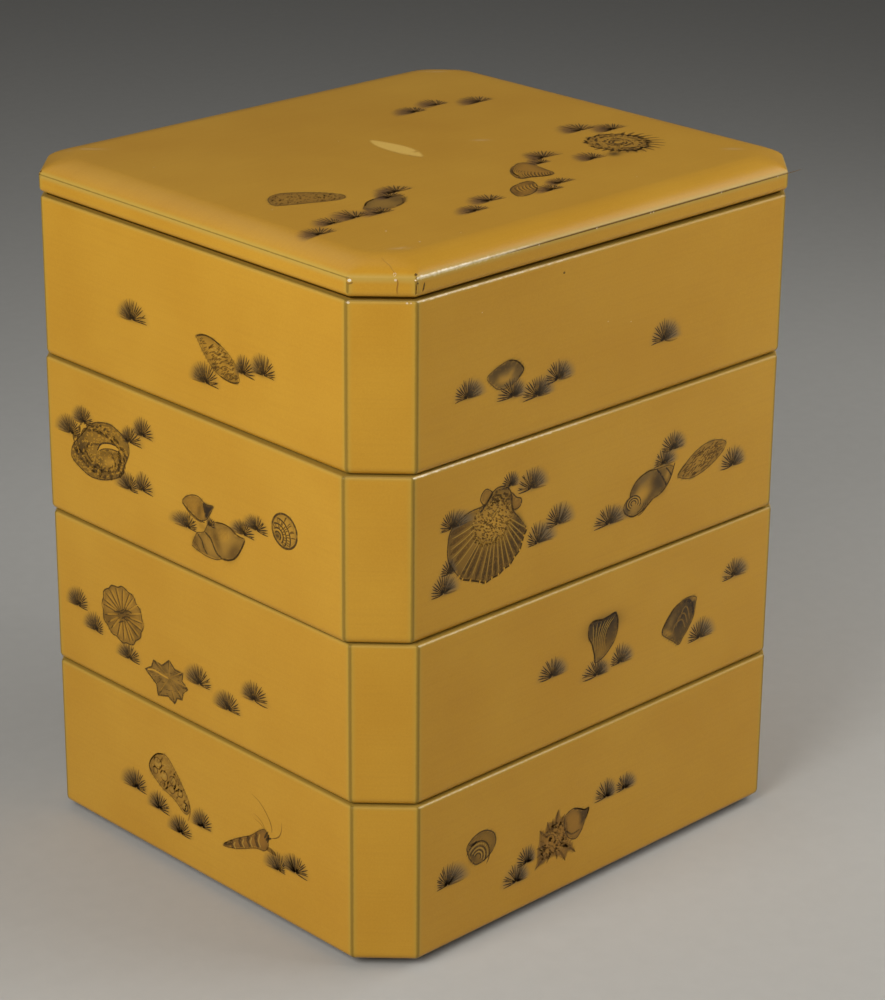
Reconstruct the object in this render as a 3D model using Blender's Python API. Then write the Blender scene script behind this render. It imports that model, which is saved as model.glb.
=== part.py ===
"""Jubako: a four-tier stacking food box of lacquered wood, with cut corners and a lift-off lid.

Every tier is an open tray with a board foot set in from its walls. The foot drops into the mouth of
the tier below, so the stack can't slide. The lid's skirt does the same in the top tier's mouth.
Metres, +Z up, origin on the table under the middle of the bottom tier. The long faces look along Y.
"""

import math

import bmesh
import bpy

# Plan of the box over its lacquer, and the upright corners that are cut off at 45 degrees
WIDTH = 0.240
DEPTH = 0.218
CORNER_LEG = 0.0183
LID_CORNER_LEG = 0.0176

# One tier: a tray of even wall with a rounded lower edge and a crisp rim
TIER_HEIGHT = 0.0674
WALL = 0.0055
FLOOR = 0.005
LOWER_EDGE_ROUND = 0.0032
RIM_ARRIS = 0.0004

# The foot under each tier and the play between it and the mouth that takes it
FOOT_DROP = 0.003
NEST_CLEARANCE = 0.0025
SEAT_GAP = 0.0003

# The lid: an upright band, a soft shoulder up to a flat top, and a hollow under it
LID_BAND = 0.0075
LID_RISE = 0.0055
LID_SHOULDER = 0.014
LID_EDGE_ROUND = 0.0024
LID_TOP_THICKNESS = 0.005
LID_REVEAL = 0.001
LID_SEAT_SETBACK = 0.0027
SKIRT_DROP = 0.003
SKIRT_WALL = 0.004

# How far the lid's shoulder bulges: 0.5 is a quarter ellipse and 0.25 a straight slope
SHOULDER_FULLNESS = 0.4

# The stack as it stands: each tier's slip on the one below it, as X shift, Y shift and turn in degrees
TIER_NAMES = ("bottom_tier", "third_tier", "second_tier", "top_tier")
TIER_SLIPS = (
    (0.0, 0.0, 0.0),
    (0.0001, 0.0006, -0.05),
    (-0.0007, 0.0004, -0.55),
    (0.0008, 0.0003, 0.3),
)
LID_SLIP = (0.0001, 0.0, 0.05)

# Fineness of the round edges, and the angle up to which they are shaded smooth
EDGE_SEGMENTS = 5
SHOULDER_SEGMENTS = 8
SMOOTH_ANGLE = math.radians(30.0)

# How far a cutter runs past the face it opens, and a joined block into the one it joins
OVERRUN = 0.002

# Ochre lacquer outside and in, as linear red, green and blue
LACQUER_COLOUR = (0.50, 0.26, 0.035, 1.0)
LACQUER_ROUGHNESS = 0.35

# An octagon moved in by one unit loses this much of its corner leg
LEG_LOSS = 2.0 - math.sqrt(2.0)


def clear_scene():
    """Remove every object of the open scene."""
    for old in list(bpy.data.objects):
        bpy.data.objects.remove(old, do_unlink=True)


def make_collection(name):
    """Link a new collection to the scene."""
    collection = bpy.data.collections.new(name)
    bpy.context.scene.collection.children.link(collection)
    return collection


def lacquer(name):
    """Satin ochre lacquer for one piece."""
    material = bpy.data.materials.new(name)
    material.use_nodes = True
    shader = material.node_tree.nodes["Principled BSDF"]
    shader.inputs["Base Color"].default_value = LACQUER_COLOUR
    shader.inputs["Roughness"].default_value = LACQUER_ROUGHNESS
    shader.inputs["Metallic"].default_value = 0.0
    material.diffuse_color = LACQUER_COLOUR
    return material


def edges_at_height(bm, height):
    """The edges of a block that lie level at one height."""
    return [e for e in bm.edges if all(abs(v.co.z - height) < 1e-6 for v in e.verts)]


def cut_corner_block(inset, leg, low, high):
    """A block on the box's plan moved in by inset, with its four upright corners cut off.

    leg is the corner leg of the full plan, so the cut faces stay parallel to the outer ones.
    """
    bm = bmesh.new()
    bmesh.ops.create_cube(bm, size=1.0)
    size = (WIDTH - 2.0 * inset, DEPTH - 2.0 * inset, high - low)
    bmesh.ops.scale(bm, vec=size, verts=bm.verts)
    bmesh.ops.translate(bm, vec=(0.0, 0.0, (low + high) / 2.0), verts=bm.verts)
    upright = [e for e in bm.edges if abs(e.verts[0].co.z - e.verts[1].co.z) > (high - low) / 2.0]
    bmesh.ops.bevel(bm, geom=upright, offset=leg - LEG_LOSS * inset, offset_type="OFFSET",
                    segments=1, profile=0.5, affect="EDGES")
    return bm


def ease_edges(bm, height, width, segments, profile=0.5):
    """Round or chamfer the level edges at one height."""
    bmesh.ops.bevel(bm, geom=edges_at_height(bm, height), offset=width, offset_type="OFFSET",
                    segments=segments, profile=profile, affect="EDGES")


def to_object(bm, name, collection):
    """Turn a bmesh into an object in its collection."""
    mesh = bpy.data.meshes.new(name)
    bm.to_mesh(mesh)
    bm.free()
    mesh.shade_smooth()
    mesh.set_sharp_from_angle(angle=SMOOTH_ANGLE)
    piece = bpy.data.objects.new(name, mesh)
    collection.objects.link(piece)
    return piece


def helper_block(piece, suffix, cutters, inset, leg, low, high):
    """A block that is joined to or cut from a piece, kept out of the render and moved with it."""
    block = to_object(cut_corner_block(inset, leg, low, high), piece.name + suffix, cutters)
    block.parent = piece
    block.hide_render = True
    block.display_type = "WIRE"
    return block


def combine(piece, other, operation):
    """Join another block to a piece, or cut it away, with an exact Boolean."""
    modifier = piece.modifiers.new(operation.lower() + "_" + other.name, "BOOLEAN")
    modifier.operation = operation
    modifier.solver = "EXACT"
    modifier.object = other


def build_tier(name, parts, cutters):
    """One tray: eased block, set-in foot joined below, mouth cut from above."""
    bm = cut_corner_block(0.0, CORNER_LEG, 0.0, TIER_HEIGHT)
    ease_edges(bm, 0.0, LOWER_EDGE_ROUND, EDGE_SEGMENTS)
    ease_edges(bm, TIER_HEIGHT, RIM_ARRIS, 1)
    tier = to_object(bm, name, parts)
    foot = helper_block(tier, "_foot", cutters, WALL + NEST_CLEARANCE, CORNER_LEG,
                        -FOOT_DROP, FLOOR / 2.0)
    mouth = helper_block(tier, "_mouth", cutters, WALL, CORNER_LEG, FLOOR, TIER_HEIGHT + OVERRUN)
    combine(tier, foot, "UNION")
    combine(tier, mouth, "DIFFERENCE")
    return tier


def build_lid(name, parts, cutters):
    """The lid: band and shoulder in one block, then seat and skirt joined and the underside hollowed.

    The shoulder is first eased as wide as it is tall, then pressed down to its real rise.
    """
    bm = cut_corner_block(0.0, LID_CORNER_LEG, 0.0, LID_BAND + LID_SHOULDER)
    ease_edges(bm, LID_BAND + LID_SHOULDER, LID_SHOULDER, SHOULDER_SEGMENTS, SHOULDER_FULLNESS)
    for vert in bm.verts:
        if vert.co.z > LID_BAND:
            vert.co.z = LID_BAND + (vert.co.z - LID_BAND) * LID_RISE / LID_SHOULDER
    ease_edges(bm, 0.0, LID_EDGE_ROUND, EDGE_SEGMENTS)
    lid = to_object(bm, name, parts)
    skirt_inset = WALL + NEST_CLEARANCE
    seat = helper_block(lid, "_seat", cutters, LID_SEAT_SETBACK, CORNER_LEG,
                        -LID_REVEAL, OVERRUN)
    skirt = helper_block(lid, "_skirt", cutters, skirt_inset, CORNER_LEG,
                         -LID_REVEAL - SEAT_GAP - SKIRT_DROP, OVERRUN)
    hollow = helper_block(lid, "_hollow", cutters, skirt_inset + SKIRT_WALL, CORNER_LEG,
                          -LID_REVEAL - SEAT_GAP - SKIRT_DROP - OVERRUN,
                          LID_BAND + LID_RISE - LID_TOP_THICKNESS)
    combine(lid, seat, "UNION")
    combine(lid, skirt, "UNION")
    combine(lid, hollow, "DIFFERENCE")
    return lid


def stand(piece, slips, height):
    """Set a piece at its height, moved and turned by the sum of the slips under it."""
    piece.location = (sum(s[0] for s in slips), sum(s[1] for s in slips), height)
    piece.rotation_euler = (0.0, 0.0, math.radians(sum(s[2] for s in slips)))


def main():
    """Build the stack from the bottom tier to the lid."""
    clear_scene()
    parts = make_collection("jubako")
    cutters = make_collection("cutters")
    height = FOOT_DROP
    for level, name in enumerate(TIER_NAMES):
        tier = build_tier(name, parts, cutters)
        tier.data.materials.append(lacquer(name + "_lacquer"))
        stand(tier, TIER_SLIPS[:level + 1], height)
        height += TIER_HEIGHT + SEAT_GAP
    lid = build_lid("lid", parts, cutters)
    lid.data.materials.append(lacquer("lid_lacquer"))
    stand(lid, TIER_SLIPS + (LID_SLIP,), height + LID_REVEAL)
    bpy.context.view_layer.update()


main()
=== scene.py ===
"""Jubako: a four-tier stacking food box in ochre lacquer, painted with shells and pine sprigs.

Four trays with cut corners stand in each other's mouths under a lid with a soft shoulder. The lacquer
is worn along every edge. Shells and needle tufts are painted over all faces and run on over the lid.

The classes hold their sizes in millimetres, as a box maker gives them, and meshes are made in metres.
A face is painted in its own millimetres: u runs to the right as seen from outside, from the middle
of the face, and v runs up from the underside of the tier's walls. On the lid u is X and v is Y.
"""

from __future__ import annotations

import logging
import math
from collections.abc import Callable, Iterator
from dataclasses import dataclass, field
from enum import Enum

import bpy
import numpy as np
from bpy.types import Material, Node, NodeSocket, NodeTree, Object
from mathutils import Matrix, Vector

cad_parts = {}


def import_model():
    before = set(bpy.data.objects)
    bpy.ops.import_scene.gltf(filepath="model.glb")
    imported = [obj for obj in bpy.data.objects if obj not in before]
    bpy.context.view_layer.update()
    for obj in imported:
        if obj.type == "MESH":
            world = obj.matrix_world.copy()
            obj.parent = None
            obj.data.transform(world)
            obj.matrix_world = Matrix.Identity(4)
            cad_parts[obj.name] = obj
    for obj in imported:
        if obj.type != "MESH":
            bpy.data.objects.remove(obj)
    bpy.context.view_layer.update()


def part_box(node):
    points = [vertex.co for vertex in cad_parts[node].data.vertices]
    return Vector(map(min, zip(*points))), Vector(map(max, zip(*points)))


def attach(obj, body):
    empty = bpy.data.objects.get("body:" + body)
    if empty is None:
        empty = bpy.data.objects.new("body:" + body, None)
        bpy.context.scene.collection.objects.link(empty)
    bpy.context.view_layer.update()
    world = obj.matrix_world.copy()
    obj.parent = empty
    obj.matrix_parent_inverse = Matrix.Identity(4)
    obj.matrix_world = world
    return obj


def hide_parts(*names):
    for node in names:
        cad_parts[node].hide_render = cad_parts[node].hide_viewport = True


# Two numbers, mostly a place in millimetres, and the way a face's places lie on its piece
Pair = tuple[float, float]
Laying = Callable[[np.ndarray, np.ndarray], np.ndarray]

log = logging.getLogger("jubako")

# One millimetre in the scene's metres
MM = 0.001

# An octagon's outward side normals turn by this much from one side to the next
SIDE_TURN = math.pi / 4.0
SIDES = 8

# The colour sockets of a Mix node, whose names are shared by its other kinds
MIX_A = 6
MIX_B = 7
MIXED = 2

# A distance that counts as out of reach, and the third number of flow on level places
FAR = 99.0
LEVEL_FLOW = 50.0


def linear(hex_colour: str) -> tuple[float, float, float]:
    """Turn an sRGB hex colour into linear red, green and blue.

    Args:
        hex_colour: six hex digits.

    Returns:
        The three linear values.
    """
    parts = [int(hex_colour[i:i + 2], 16) / 255.0 for i in (0, 2, 4)]
    return tuple(p / 12.92 if p <= 0.04045 else ((p + 0.055) / 1.055) ** 2.4 for p in parts)


def add_node(tree: NodeTree, kind: str, inputs: dict | None = None,
             **settings) -> Node:
    """Add a node with its settings, and fill its inputs with values or links.

    A node that is given as an input stands for its main output, and a hex colour for its linear
    values.

    Args:
        tree: the material's or world's node tree.
        kind: the node's type name after ShaderNode.
        inputs: for each input's name or number, a value or the socket or node that feeds it.
        settings: the node's own properties.

    Returns:
        The new node.
    """
    made = tree.nodes.new("ShaderNode" + kind)
    for name, value in settings.items():
        setattr(made, name, value)
    for key, value in (inputs or {}).items():
        if isinstance(value, Node):
            value = value.outputs[MIXED if value.bl_idname == "ShaderNodeMix" else 0]
        if isinstance(value, NodeSocket):
            tree.links.new(value, made.inputs[key])
        else:
            made.inputs[key].default_value = (*linear(value), 1.0) if isinstance(value, str) else value
    return made


def unit(angle: float | np.ndarray) -> np.ndarray:
    """The ways (cos, sin) of angles in radians."""
    return np.stack([np.cos(angle), np.sin(angle)], axis=-1)


def spin(degrees: float) -> np.ndarray:
    """The matrix that turns rows of places to the left: [[cos, sin], [-sin, cos]]."""
    c, s = math.cos(math.radians(degrees)), math.sin(math.radians(degrees))
    return np.array([[c, s], [-s, c]])


def leftward(way: np.ndarray) -> np.ndarray:
    """Ways turned a quarter to the left: (-y, x)."""
    return np.stack([-way[..., 1], way[..., 0]], axis=-1)


def new_material(name: str) -> tuple[Material, NodeTree]:
    """Make a material whose node tree is empty.

    Args:
        name: the material's name.

    Returns:
        The material and its node tree.
    """
    material = bpy.data.materials.new(name)
    material.use_nodes = True
    material.node_tree.nodes.clear()
    return material, material.node_tree


def mesh_object(name: str, points: np.ndarray, faces: list[np.ndarray],
                smooth: bool = True) -> Object:
    """Put points and faces into a new object at the origin.

    Args:
        name: the object's and mesh's name.
        points: (n, 3) positions in metres.
        faces: arrays of vertex numbers, one row a face, each array with its own number of corners.
        smooth: whether the faces are shaded smooth.

    Returns:
        The object, linked to the scene.
    """
    mesh = bpy.data.meshes.new(name)
    loops = np.concatenate([block.ravel() for block in faces]).astype(np.int32)
    sizes = np.concatenate([np.full(len(block), block.shape[1]) for block in faces])
    starts = np.concatenate([[0], np.cumsum(sizes)[:-1]]).astype(np.int32)
    mesh.vertices.add(len(points))
    mesh.vertices.foreach_set("co", points.astype(np.float32).ravel())
    mesh.loops.add(len(loops))
    mesh.loops.foreach_set("vertex_index", loops)
    mesh.polygons.add(len(starts))
    mesh.polygons.foreach_set("loop_start", starts)
    mesh.update(calc_edges=True)
    mesh.validate()
    mesh.polygons.foreach_set("use_smooth", np.full(len(starts), smooth))
    made = bpy.data.objects.new(name, mesh)
    bpy.context.scene.collection.objects.link(made)
    return made


def set_attribute(piece: Object, name: str, values: np.ndarray) -> None:
    """Store three or four numbers a vertex as a vector or colour attribute.

    Args:
        piece: the object.
        name: the attribute's name, as the materials read it.
        values: (n, 3) for a vector or (n, 4) for a colour with its cover.
    """
    kind, key = ("FLOAT_COLOR", "color") if values.shape[1] == 4 else ("FLOAT_VECTOR", "vector")
    attribute = piece.data.attributes.new(name, kind, "POINT")
    attribute.data.foreach_set(key, values.astype(np.float32).ravel())


def set_bake_map(piece: Object, corners: np.ndarray) -> None:
    """Lay the piece out flat for baking, from one pair of numbers a face corner."""
    layer = piece.data.uv_layers.new(name="OFBake")
    layer.data.foreach_set("uv", corners.astype(np.float32).ravel())


class Side(Enum):
    """The box's four long faces, by the number of their octagon side, turning from +X."""

    EAST = 0
    NORTH = 2
    WEST = 4
    SOUTH = 6


EAST, NORTH, WEST, SOUTH = Side


@dataclass(frozen=True)
class OchreLacquer:
    """Polished ochre lacquer on wood, brushed in thin coats and rubbed down.

    It shows as a warm yellow ochre with faint brush streaks and cloudy patches, a satin gloss, a
    paler greenish halo beside each edge and an olive line on the edge itself, where the coats are
    rubbed through. Over this lie painted light and shade: a pale cream highlight on the front rims,
    painted shade along the trays' rims under the tier above, and along the lower edges and joints.
    Widths, and the sizes of cloud, grit and grain, are millimetres.
    """

    name: str
    ground: str = "CF9D33"
    ground_deep: str = "BB8521"
    streak: str = "AC7826"
    halo: str = "BE9638"
    core: str = "7A6220"
    ridge: str = "BE9C48"
    # Painted shade: a dark tint along the lower edges and in the joints, where shade falls
    painted_shade: str = "4A380C"
    ridge_width: float = 2.3
    halo_width: float = 2.6
    core_width: float = 1.0
    painted_shade_width: float = 2.4
    roughness: float = 0.32
    ior: float = 1.34
    # Painted shade: a dark band along the trays' rims, where the tier above shades the joint
    rim_joint_shade: float = 0.36
    rim_joint_shade_width: float = 1.3
    rim_roughness: float = 0.20
    rim_ior: float = 1.95
    # Painted highlight: pale cream mixed into the colour of rims facing -Y, from glint_start to
    # glint_end along X
    glint: str = "FFE9B4"
    glint_cover: float = 0.75
    glint_width: float = 1.2
    glint_start: float = -85.0
    glint_end: float = 10.0
    cloud_size: float = 45.0
    grit_size: float = 1.6
    grain_size: float = 0.7
    streak_height: float = 0.06
    streak_bump: float = 0.16

    def build(self) -> Material:
        """Make the material.

        Returns:
            The material, which reads the attributes flow, edges and paint.
        """
        material, tree = new_material(self.name)
        flow = add_node(tree, "Attribute", attribute_name="flow").outputs["Vector"]
        colour, cloud, grit = self.ground_colour(tree, flow)
        paint = add_node(tree, "Attribute", attribute_name="paint").outputs
        kept = add_node(tree, "MapRange", {0: grit, 1: 0.30, 2: 0.46, 3: 0.90, 4: 1.0})
        cover = add_node(tree, "Math", {0: paint["Alpha"], 1: kept}, operation="MULTIPLY")
        colour = add_node(tree, "Mix", {0: cover, MIX_A: colour, MIX_B: paint["Color"]},
                          data_type="RGBA")
        colour = self.worn_and_shaded_edges(tree, colour, cloud, grit)
        # Painted highlight: the glint share mixes pale cream into the colour and gives the rims a glossy
        # coat
        gloss_and_glint = self.rim_gloss_and_glint(tree, grit)
        paler = add_node(tree, "Math", {0: gloss_and_glint, 1: self.glint_cover}, operation="MULTIPLY")
        colour = add_node(tree, "Mix", {0: paler, MIX_A: colour, MIX_B: self.glint}, data_type="RGBA")
        brushed = add_node(tree, "Mapping", {"Vector": flow, "Scale": (0.03, 0.7, 1.0)})
        height = add_node(tree, "TexNoise", {"Vector": brushed, "Scale": 1.0, "Detail": 3.0})
        bump = add_node(tree, "Bump", {
            "Height": height, "Strength": self.streak_bump, "Distance": self.streak_height * MM})
        shader = add_node(tree, "BsdfPrincipled", {
            "Base Color": colour, "Roughness": self.roughness, "IOR": self.ior, "Normal": bump,
            "Coat Weight": gloss_and_glint, "Coat Roughness": self.rim_roughness, "Coat IOR": self.rim_ior})
        add_node(tree, "OutputMaterial", {"Surface": shader})
        return material

    def rim_gloss_and_glint(self, tree: NodeTree, grit: Node) -> Node:
        """Gloss and painted highlight on the rims that look along -Y: most by the front corner.

        Args:
            tree: the material's nodes.
            grit: the fine noise.

        Returns:
            The node of the share of gloss and painted highlight.
        """
        edges = add_node(tree, "Attribute", attribute_name="edges").outputs["Vector"]
        rim = add_node(tree, "SeparateXYZ", {0: edges}).outputs[1]
        place = add_node(tree, "TexCoord").outputs
        facing = add_node(tree, "SeparateXYZ", {0: place["Normal"]}).outputs
        across = add_node(tree, "SeparateXYZ", {0: place["Object"]}).outputs[0]
        moved = add_node(tree, "Math", {0: grit, 1: 1.6, 2: rim}, operation="MULTIPLY_ADD")
        spans = ((moved, self.glint_width, self.glint_width + 0.8, 1.0, 0.0),
                 (facing[1], -0.05, -0.45, 0.0, 1.0),
                 (facing[0], -0.35, -0.12, 0.0, 1.0),
                 (across, self.glint_start * MM, self.glint_end * MM, 1.0, 0.0))
        gloss_and_glint, *shares = [add_node(tree, "MapRange", dict(enumerate(span))) for span in spans]
        for share in shares:
            gloss_and_glint = add_node(tree, "Math", {0: gloss_and_glint, 1: share}, operation="MULTIPLY")
        return gloss_and_glint

    def ground_colour(self, tree: NodeTree, flow: NodeSocket) -> tuple[Node, Node, Node]:
        """Cloudy ochre with a fine grain, and brush streaks 1.2 mm apart.

        Args:
            tree: the material's nodes.
            flow: millimetres along the brush strokes and across them.

        Returns:
            The nodes of the colour, of the cloudy noise and of the fine grit.
        """
        place = add_node(tree, "TexCoord").outputs["Object"]
        sizes = ((self.cloud_size, 3.0), (self.grit_size, 3.0), (self.grain_size, 1.0))
        cloud, grit, grain = [add_node(tree, "TexNoise", {
            "Vector": place, "Scale": 1.0 / (size * MM), "Detail": detail}) for size, detail in sizes]
        uneven = add_node(tree, "Math", {0: grain, 1: 0.55, 2: cloud}, operation="MULTIPLY_ADD")
        patch = add_node(tree, "MapRange", {0: uneven, 1: 0.15, 2: 1.40, 3: 0.0, 4: 1.0})
        base = add_node(tree, "Mix", {0: patch, MIX_A: self.ground_deep, MIX_B: self.ground},
                        data_type="RGBA")
        brushed = add_node(tree, "Mapping", {"Vector": flow, "Scale": (0.022, 0.85, 1.0)})
        streak = add_node(tree, "TexNoise", {
            "Vector": brushed, "Scale": 1.0, "Detail": 4.0, "Roughness": 0.6})
        share = add_node(tree, "MapRange", {0: streak, 1: 0.45, 2: 0.75, 3: 0.0, 4: 0.13})
        colour = add_node(tree, "Mix", {0: share, MIX_A: base, MIX_B: self.streak}, data_type="RGBA")
        return colour, cloud, grit

    def worn_and_shaded_edges(self, tree: NodeTree, colour: Node, cloud: Node, grit: Node) -> Node:
        """Lay halo, rubbed line, pale rim and painted shade over the ground by their distances.

        Each band fades over a stretch of its distance, and noise moves that distance a little.

        Args:
            tree: the material's nodes.
            colour: the colour so far.
            cloud: the cloudy noise.
            grit: the fine noise.

        Returns:
            The node of the finished colour.
        """
        edges = add_node(tree, "Attribute", attribute_name="edges").outputs["Vector"]
        arris, rim, lower = add_node(tree, "SeparateXYZ", {0: edges}).outputs
        wander = add_node(tree, "Math", {0: grit, 1: 1.1, 2: -0.55}, operation="MULTIPLY_ADD")
        drift = add_node(tree, "Math", {0: cloud, 1: 3.0, 2: -1.5}, operation="MULTIPLY_ADD")
        # Halo, pale rim and rubbed line are wear; the rim's dark band and the lower band are painted
        # shade
        bands = ((arris, drift, 0.3, self.halo_width, 0.80, self.halo),
                 (rim, wander, 0.2, self.ridge_width, 0.85, self.ridge),
                 (rim, wander, 0.3, self.rim_joint_shade_width, self.rim_joint_shade, self.core),
                 (arris, wander, 0.1, self.core_width, 0.72, self.core),
                 (lower, wander, 0.4, self.painted_shade_width, 0.85, self.painted_shade))
        for distance, noise, start, width, most, tint in bands:
            moved = add_node(tree, "Math", {0: noise, 1: 0.35, 2: distance}, operation="MULTIPLY_ADD")
            share = add_node(tree, "MapRange", {0: moved, 1: start, 2: width, 3: most, 4: 0.0},
                             interpolation_type="SMOOTHSTEP")
            colour = add_node(tree, "Mix", {0: share, MIX_A: colour, MIX_B: tint}, data_type="RGBA")
        return colour


@dataclass
class Profile:
    """A section through a wall as rows: inset from the outer face, height, plan radius and spread.

    Spread is the share of the outline's size that a row keeps, 0 at a pole in the middle.
    """

    radius: float = 0.5
    rows: list[np.ndarray] = field(default_factory=list)
    marks: dict[str, int] = field(default_factory=dict)

    def start(self, inset: float, height: float, spread: float = 1.0) -> None:
        """Set the first row."""
        self.rows.append(np.array([[inset, height, self.radius, spread]]))

    def mark(self, name: str) -> None:
        """Remember the last row under a name."""
        self.marks[name] = sum(len(block) for block in self.rows) - 1

    def to(self, inset: float, height: float, steps: int = 1, spread: float = 1.0,
           radius: float | None = None) -> None:
        """Go on in even steps to an inset and height.

        Args:
            inset: millimetres in from the outer face.
            height: millimetres above the piece's own zero.
            steps: how many rows to add.
            spread: the share of the outline's size at the end.
            radius: the upright corners' radius at the end, kept where none is given.
        """
        last = self.rows[-1][-1]
        aim = np.array([inset, height, last[2] if radius is None else radius, spread])
        share = np.linspace(0.0, 1.0, steps + 1)[1:, None]
        self.rows.append(last + (aim - last) * share)

    def turn(self, inset: float, height: float, upright_first: bool, steps: int = 4) -> None:
        """Go on to an inset and height along a quarter ellipse.

        Args:
            inset: millimetres in from the outer face at the end.
            height: the height at the end.
            upright_first: whether the curve starts upright and ends level.
            steps: how many rows to add.
        """
        last = self.rows[-1][-1]
        angle = np.linspace(0.0, math.pi / 2.0, steps + 1)[1:]
        early, late = np.sin(angle), 1.0 - np.cos(angle)
        across, up = (late, early) if upright_first else (early, late)
        block = np.repeat(last[None, :], steps, axis=0)
        block[:, 0] += (inset - last[0]) * across
        block[:, 1] += (height - last[1]) * up
        self.rows.append(block)

    def array(self) -> np.ndarray:
        """All rows as one (n, 4) array."""
        return np.concatenate(self.rows)


@dataclass(frozen=True)
class CutCornerOutline:
    """The box's plan: a rectangle with its four corners cut off at 45 degrees, its arrises eased.

    Each column of a surface stands at one place of the outline. Column j at inset d with corner
    radius r is base - (d + r) pull + r normal, where base runs along the sharp outline, pull is the
    way a corner moves for each unit of inset, and normal is the outward direction there.
    """

    width: float
    depth: float
    leg: float
    spacing: dict[int, float]
    arc_steps: int = 4
    support: float = 0.45

    def corners(self) -> np.ndarray:
        """The eight corners, corner k between side k and side k + 1."""
        x, y, c = self.width / 2.0, self.depth / 2.0, self.leg
        return np.array([(x, y - c), (x - c, y), (c - x, y), (-x, y - c),
                         (-x, c - y), (c - x, -y), (x - c, -y), (x, c - y)])

    def columns(self) -> dict[str, np.ndarray]:
        """Spread the columns round the outline.

        Returns:
            base, pull and normal as (n, 2), side as its number or -1 on an arris, along as the
            millimetres from the middle of the side, arris as those to its nearer end, and run as
            those round the whole outline, with one more value than there are columns.
        """
        corner = self.corners()
        angle = np.arange(SIDES + 1) * SIDE_TURN
        normal = unit(angle)
        pull = (normal[:-1] + normal[1:]) / (1.0 + math.cos(SIDE_TURN))
        parts: list[tuple[np.ndarray, ...]] = []
        for k in range(SIDES):
            low, high = corner[k - 1], corner[k]
            length = float(np.linalg.norm(high - low))
            inner = np.linspace(0.0, 1.0, max(int(round(length / self.spacing[k])), 4) + 1)[1:-1]
            near = self.support / length
            share = np.concatenate([[near], inner[(inner > 2 * near) & (inner < 1 - 2 * near)],
                                    [1.0 - near]])[:, None]
            across = (share[:, 0] - 0.5) * length
            parts.append((low + (high - low) * share, pull[k - 1] + (pull[k] - pull[k - 1]) * share,
                          np.repeat(normal[k][None], len(share), axis=0), np.full(len(share), k),
                          across, length / 2.0 - np.abs(across)))
            turn = np.linspace(angle[k], angle[k + 1], self.arc_steps + 1)
            ones = np.ones(len(turn))
            parts.append((corner[k] * ones[:, None], pull[k] * ones[:, None],
                          unit(turn), -ones, ones * length / 2.0, ones * 0.0))
        names = ("base", "pull", "normal", "side", "along", "arris")
        made = {name: np.concatenate([part[i] for part in parts]) for i, name in enumerate(names)}
        eased = 0.5
        path = made["base"] - eased * made["pull"] + eased * made["normal"]
        step = np.linalg.norm(np.roll(path, -1, axis=0) - path, axis=1)
        made["run"] = np.concatenate([[0.0], np.cumsum(step)])
        return made

    def lie(self, side: int) -> Laying:
        """The way an upright side's places and heights above it lie, from the side's middle.

        Args:
            side: the side's number.

        Returns:
            A function of places on the side and heights above it.
        """
        corner = self.corners()
        middle = 0.5 * (corner[side - 1] + corner[side])
        angle = side * SIDE_TURN
        outward = np.array([math.cos(angle), math.sin(angle)])
        rightward = np.array([-math.sin(angle), math.cos(angle)])

        def laid(place: np.ndarray, height: np.ndarray) -> np.ndarray:
            """Middle + rightward u + outward height, and v upright."""
            plan = middle + rightward * place[..., :1] + outward * height[..., None]
            return np.concatenate([plan, place[..., 1:]], axis=-1)

        return laid


@dataclass(frozen=True)
class Standing:
    """Where a piece stands: its slip on the table in millimetres and degrees, and its height."""

    shift_x: float
    shift_y: float
    turn: float
    height: float

    def place(self, points: np.ndarray) -> np.ndarray:
        """Turn and move a piece's own millimetres to the scene's metres.

        Args:
            points: (..., 3) positions.

        Returns:
            The positions turned about the upright axis, moved and scaled.
        """
        turned = np.eye(3)
        turned[:2, :2] = spin(self.turn)
        return (points @ turned + np.array([self.shift_x, self.shift_y, self.height])) * MM


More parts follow.
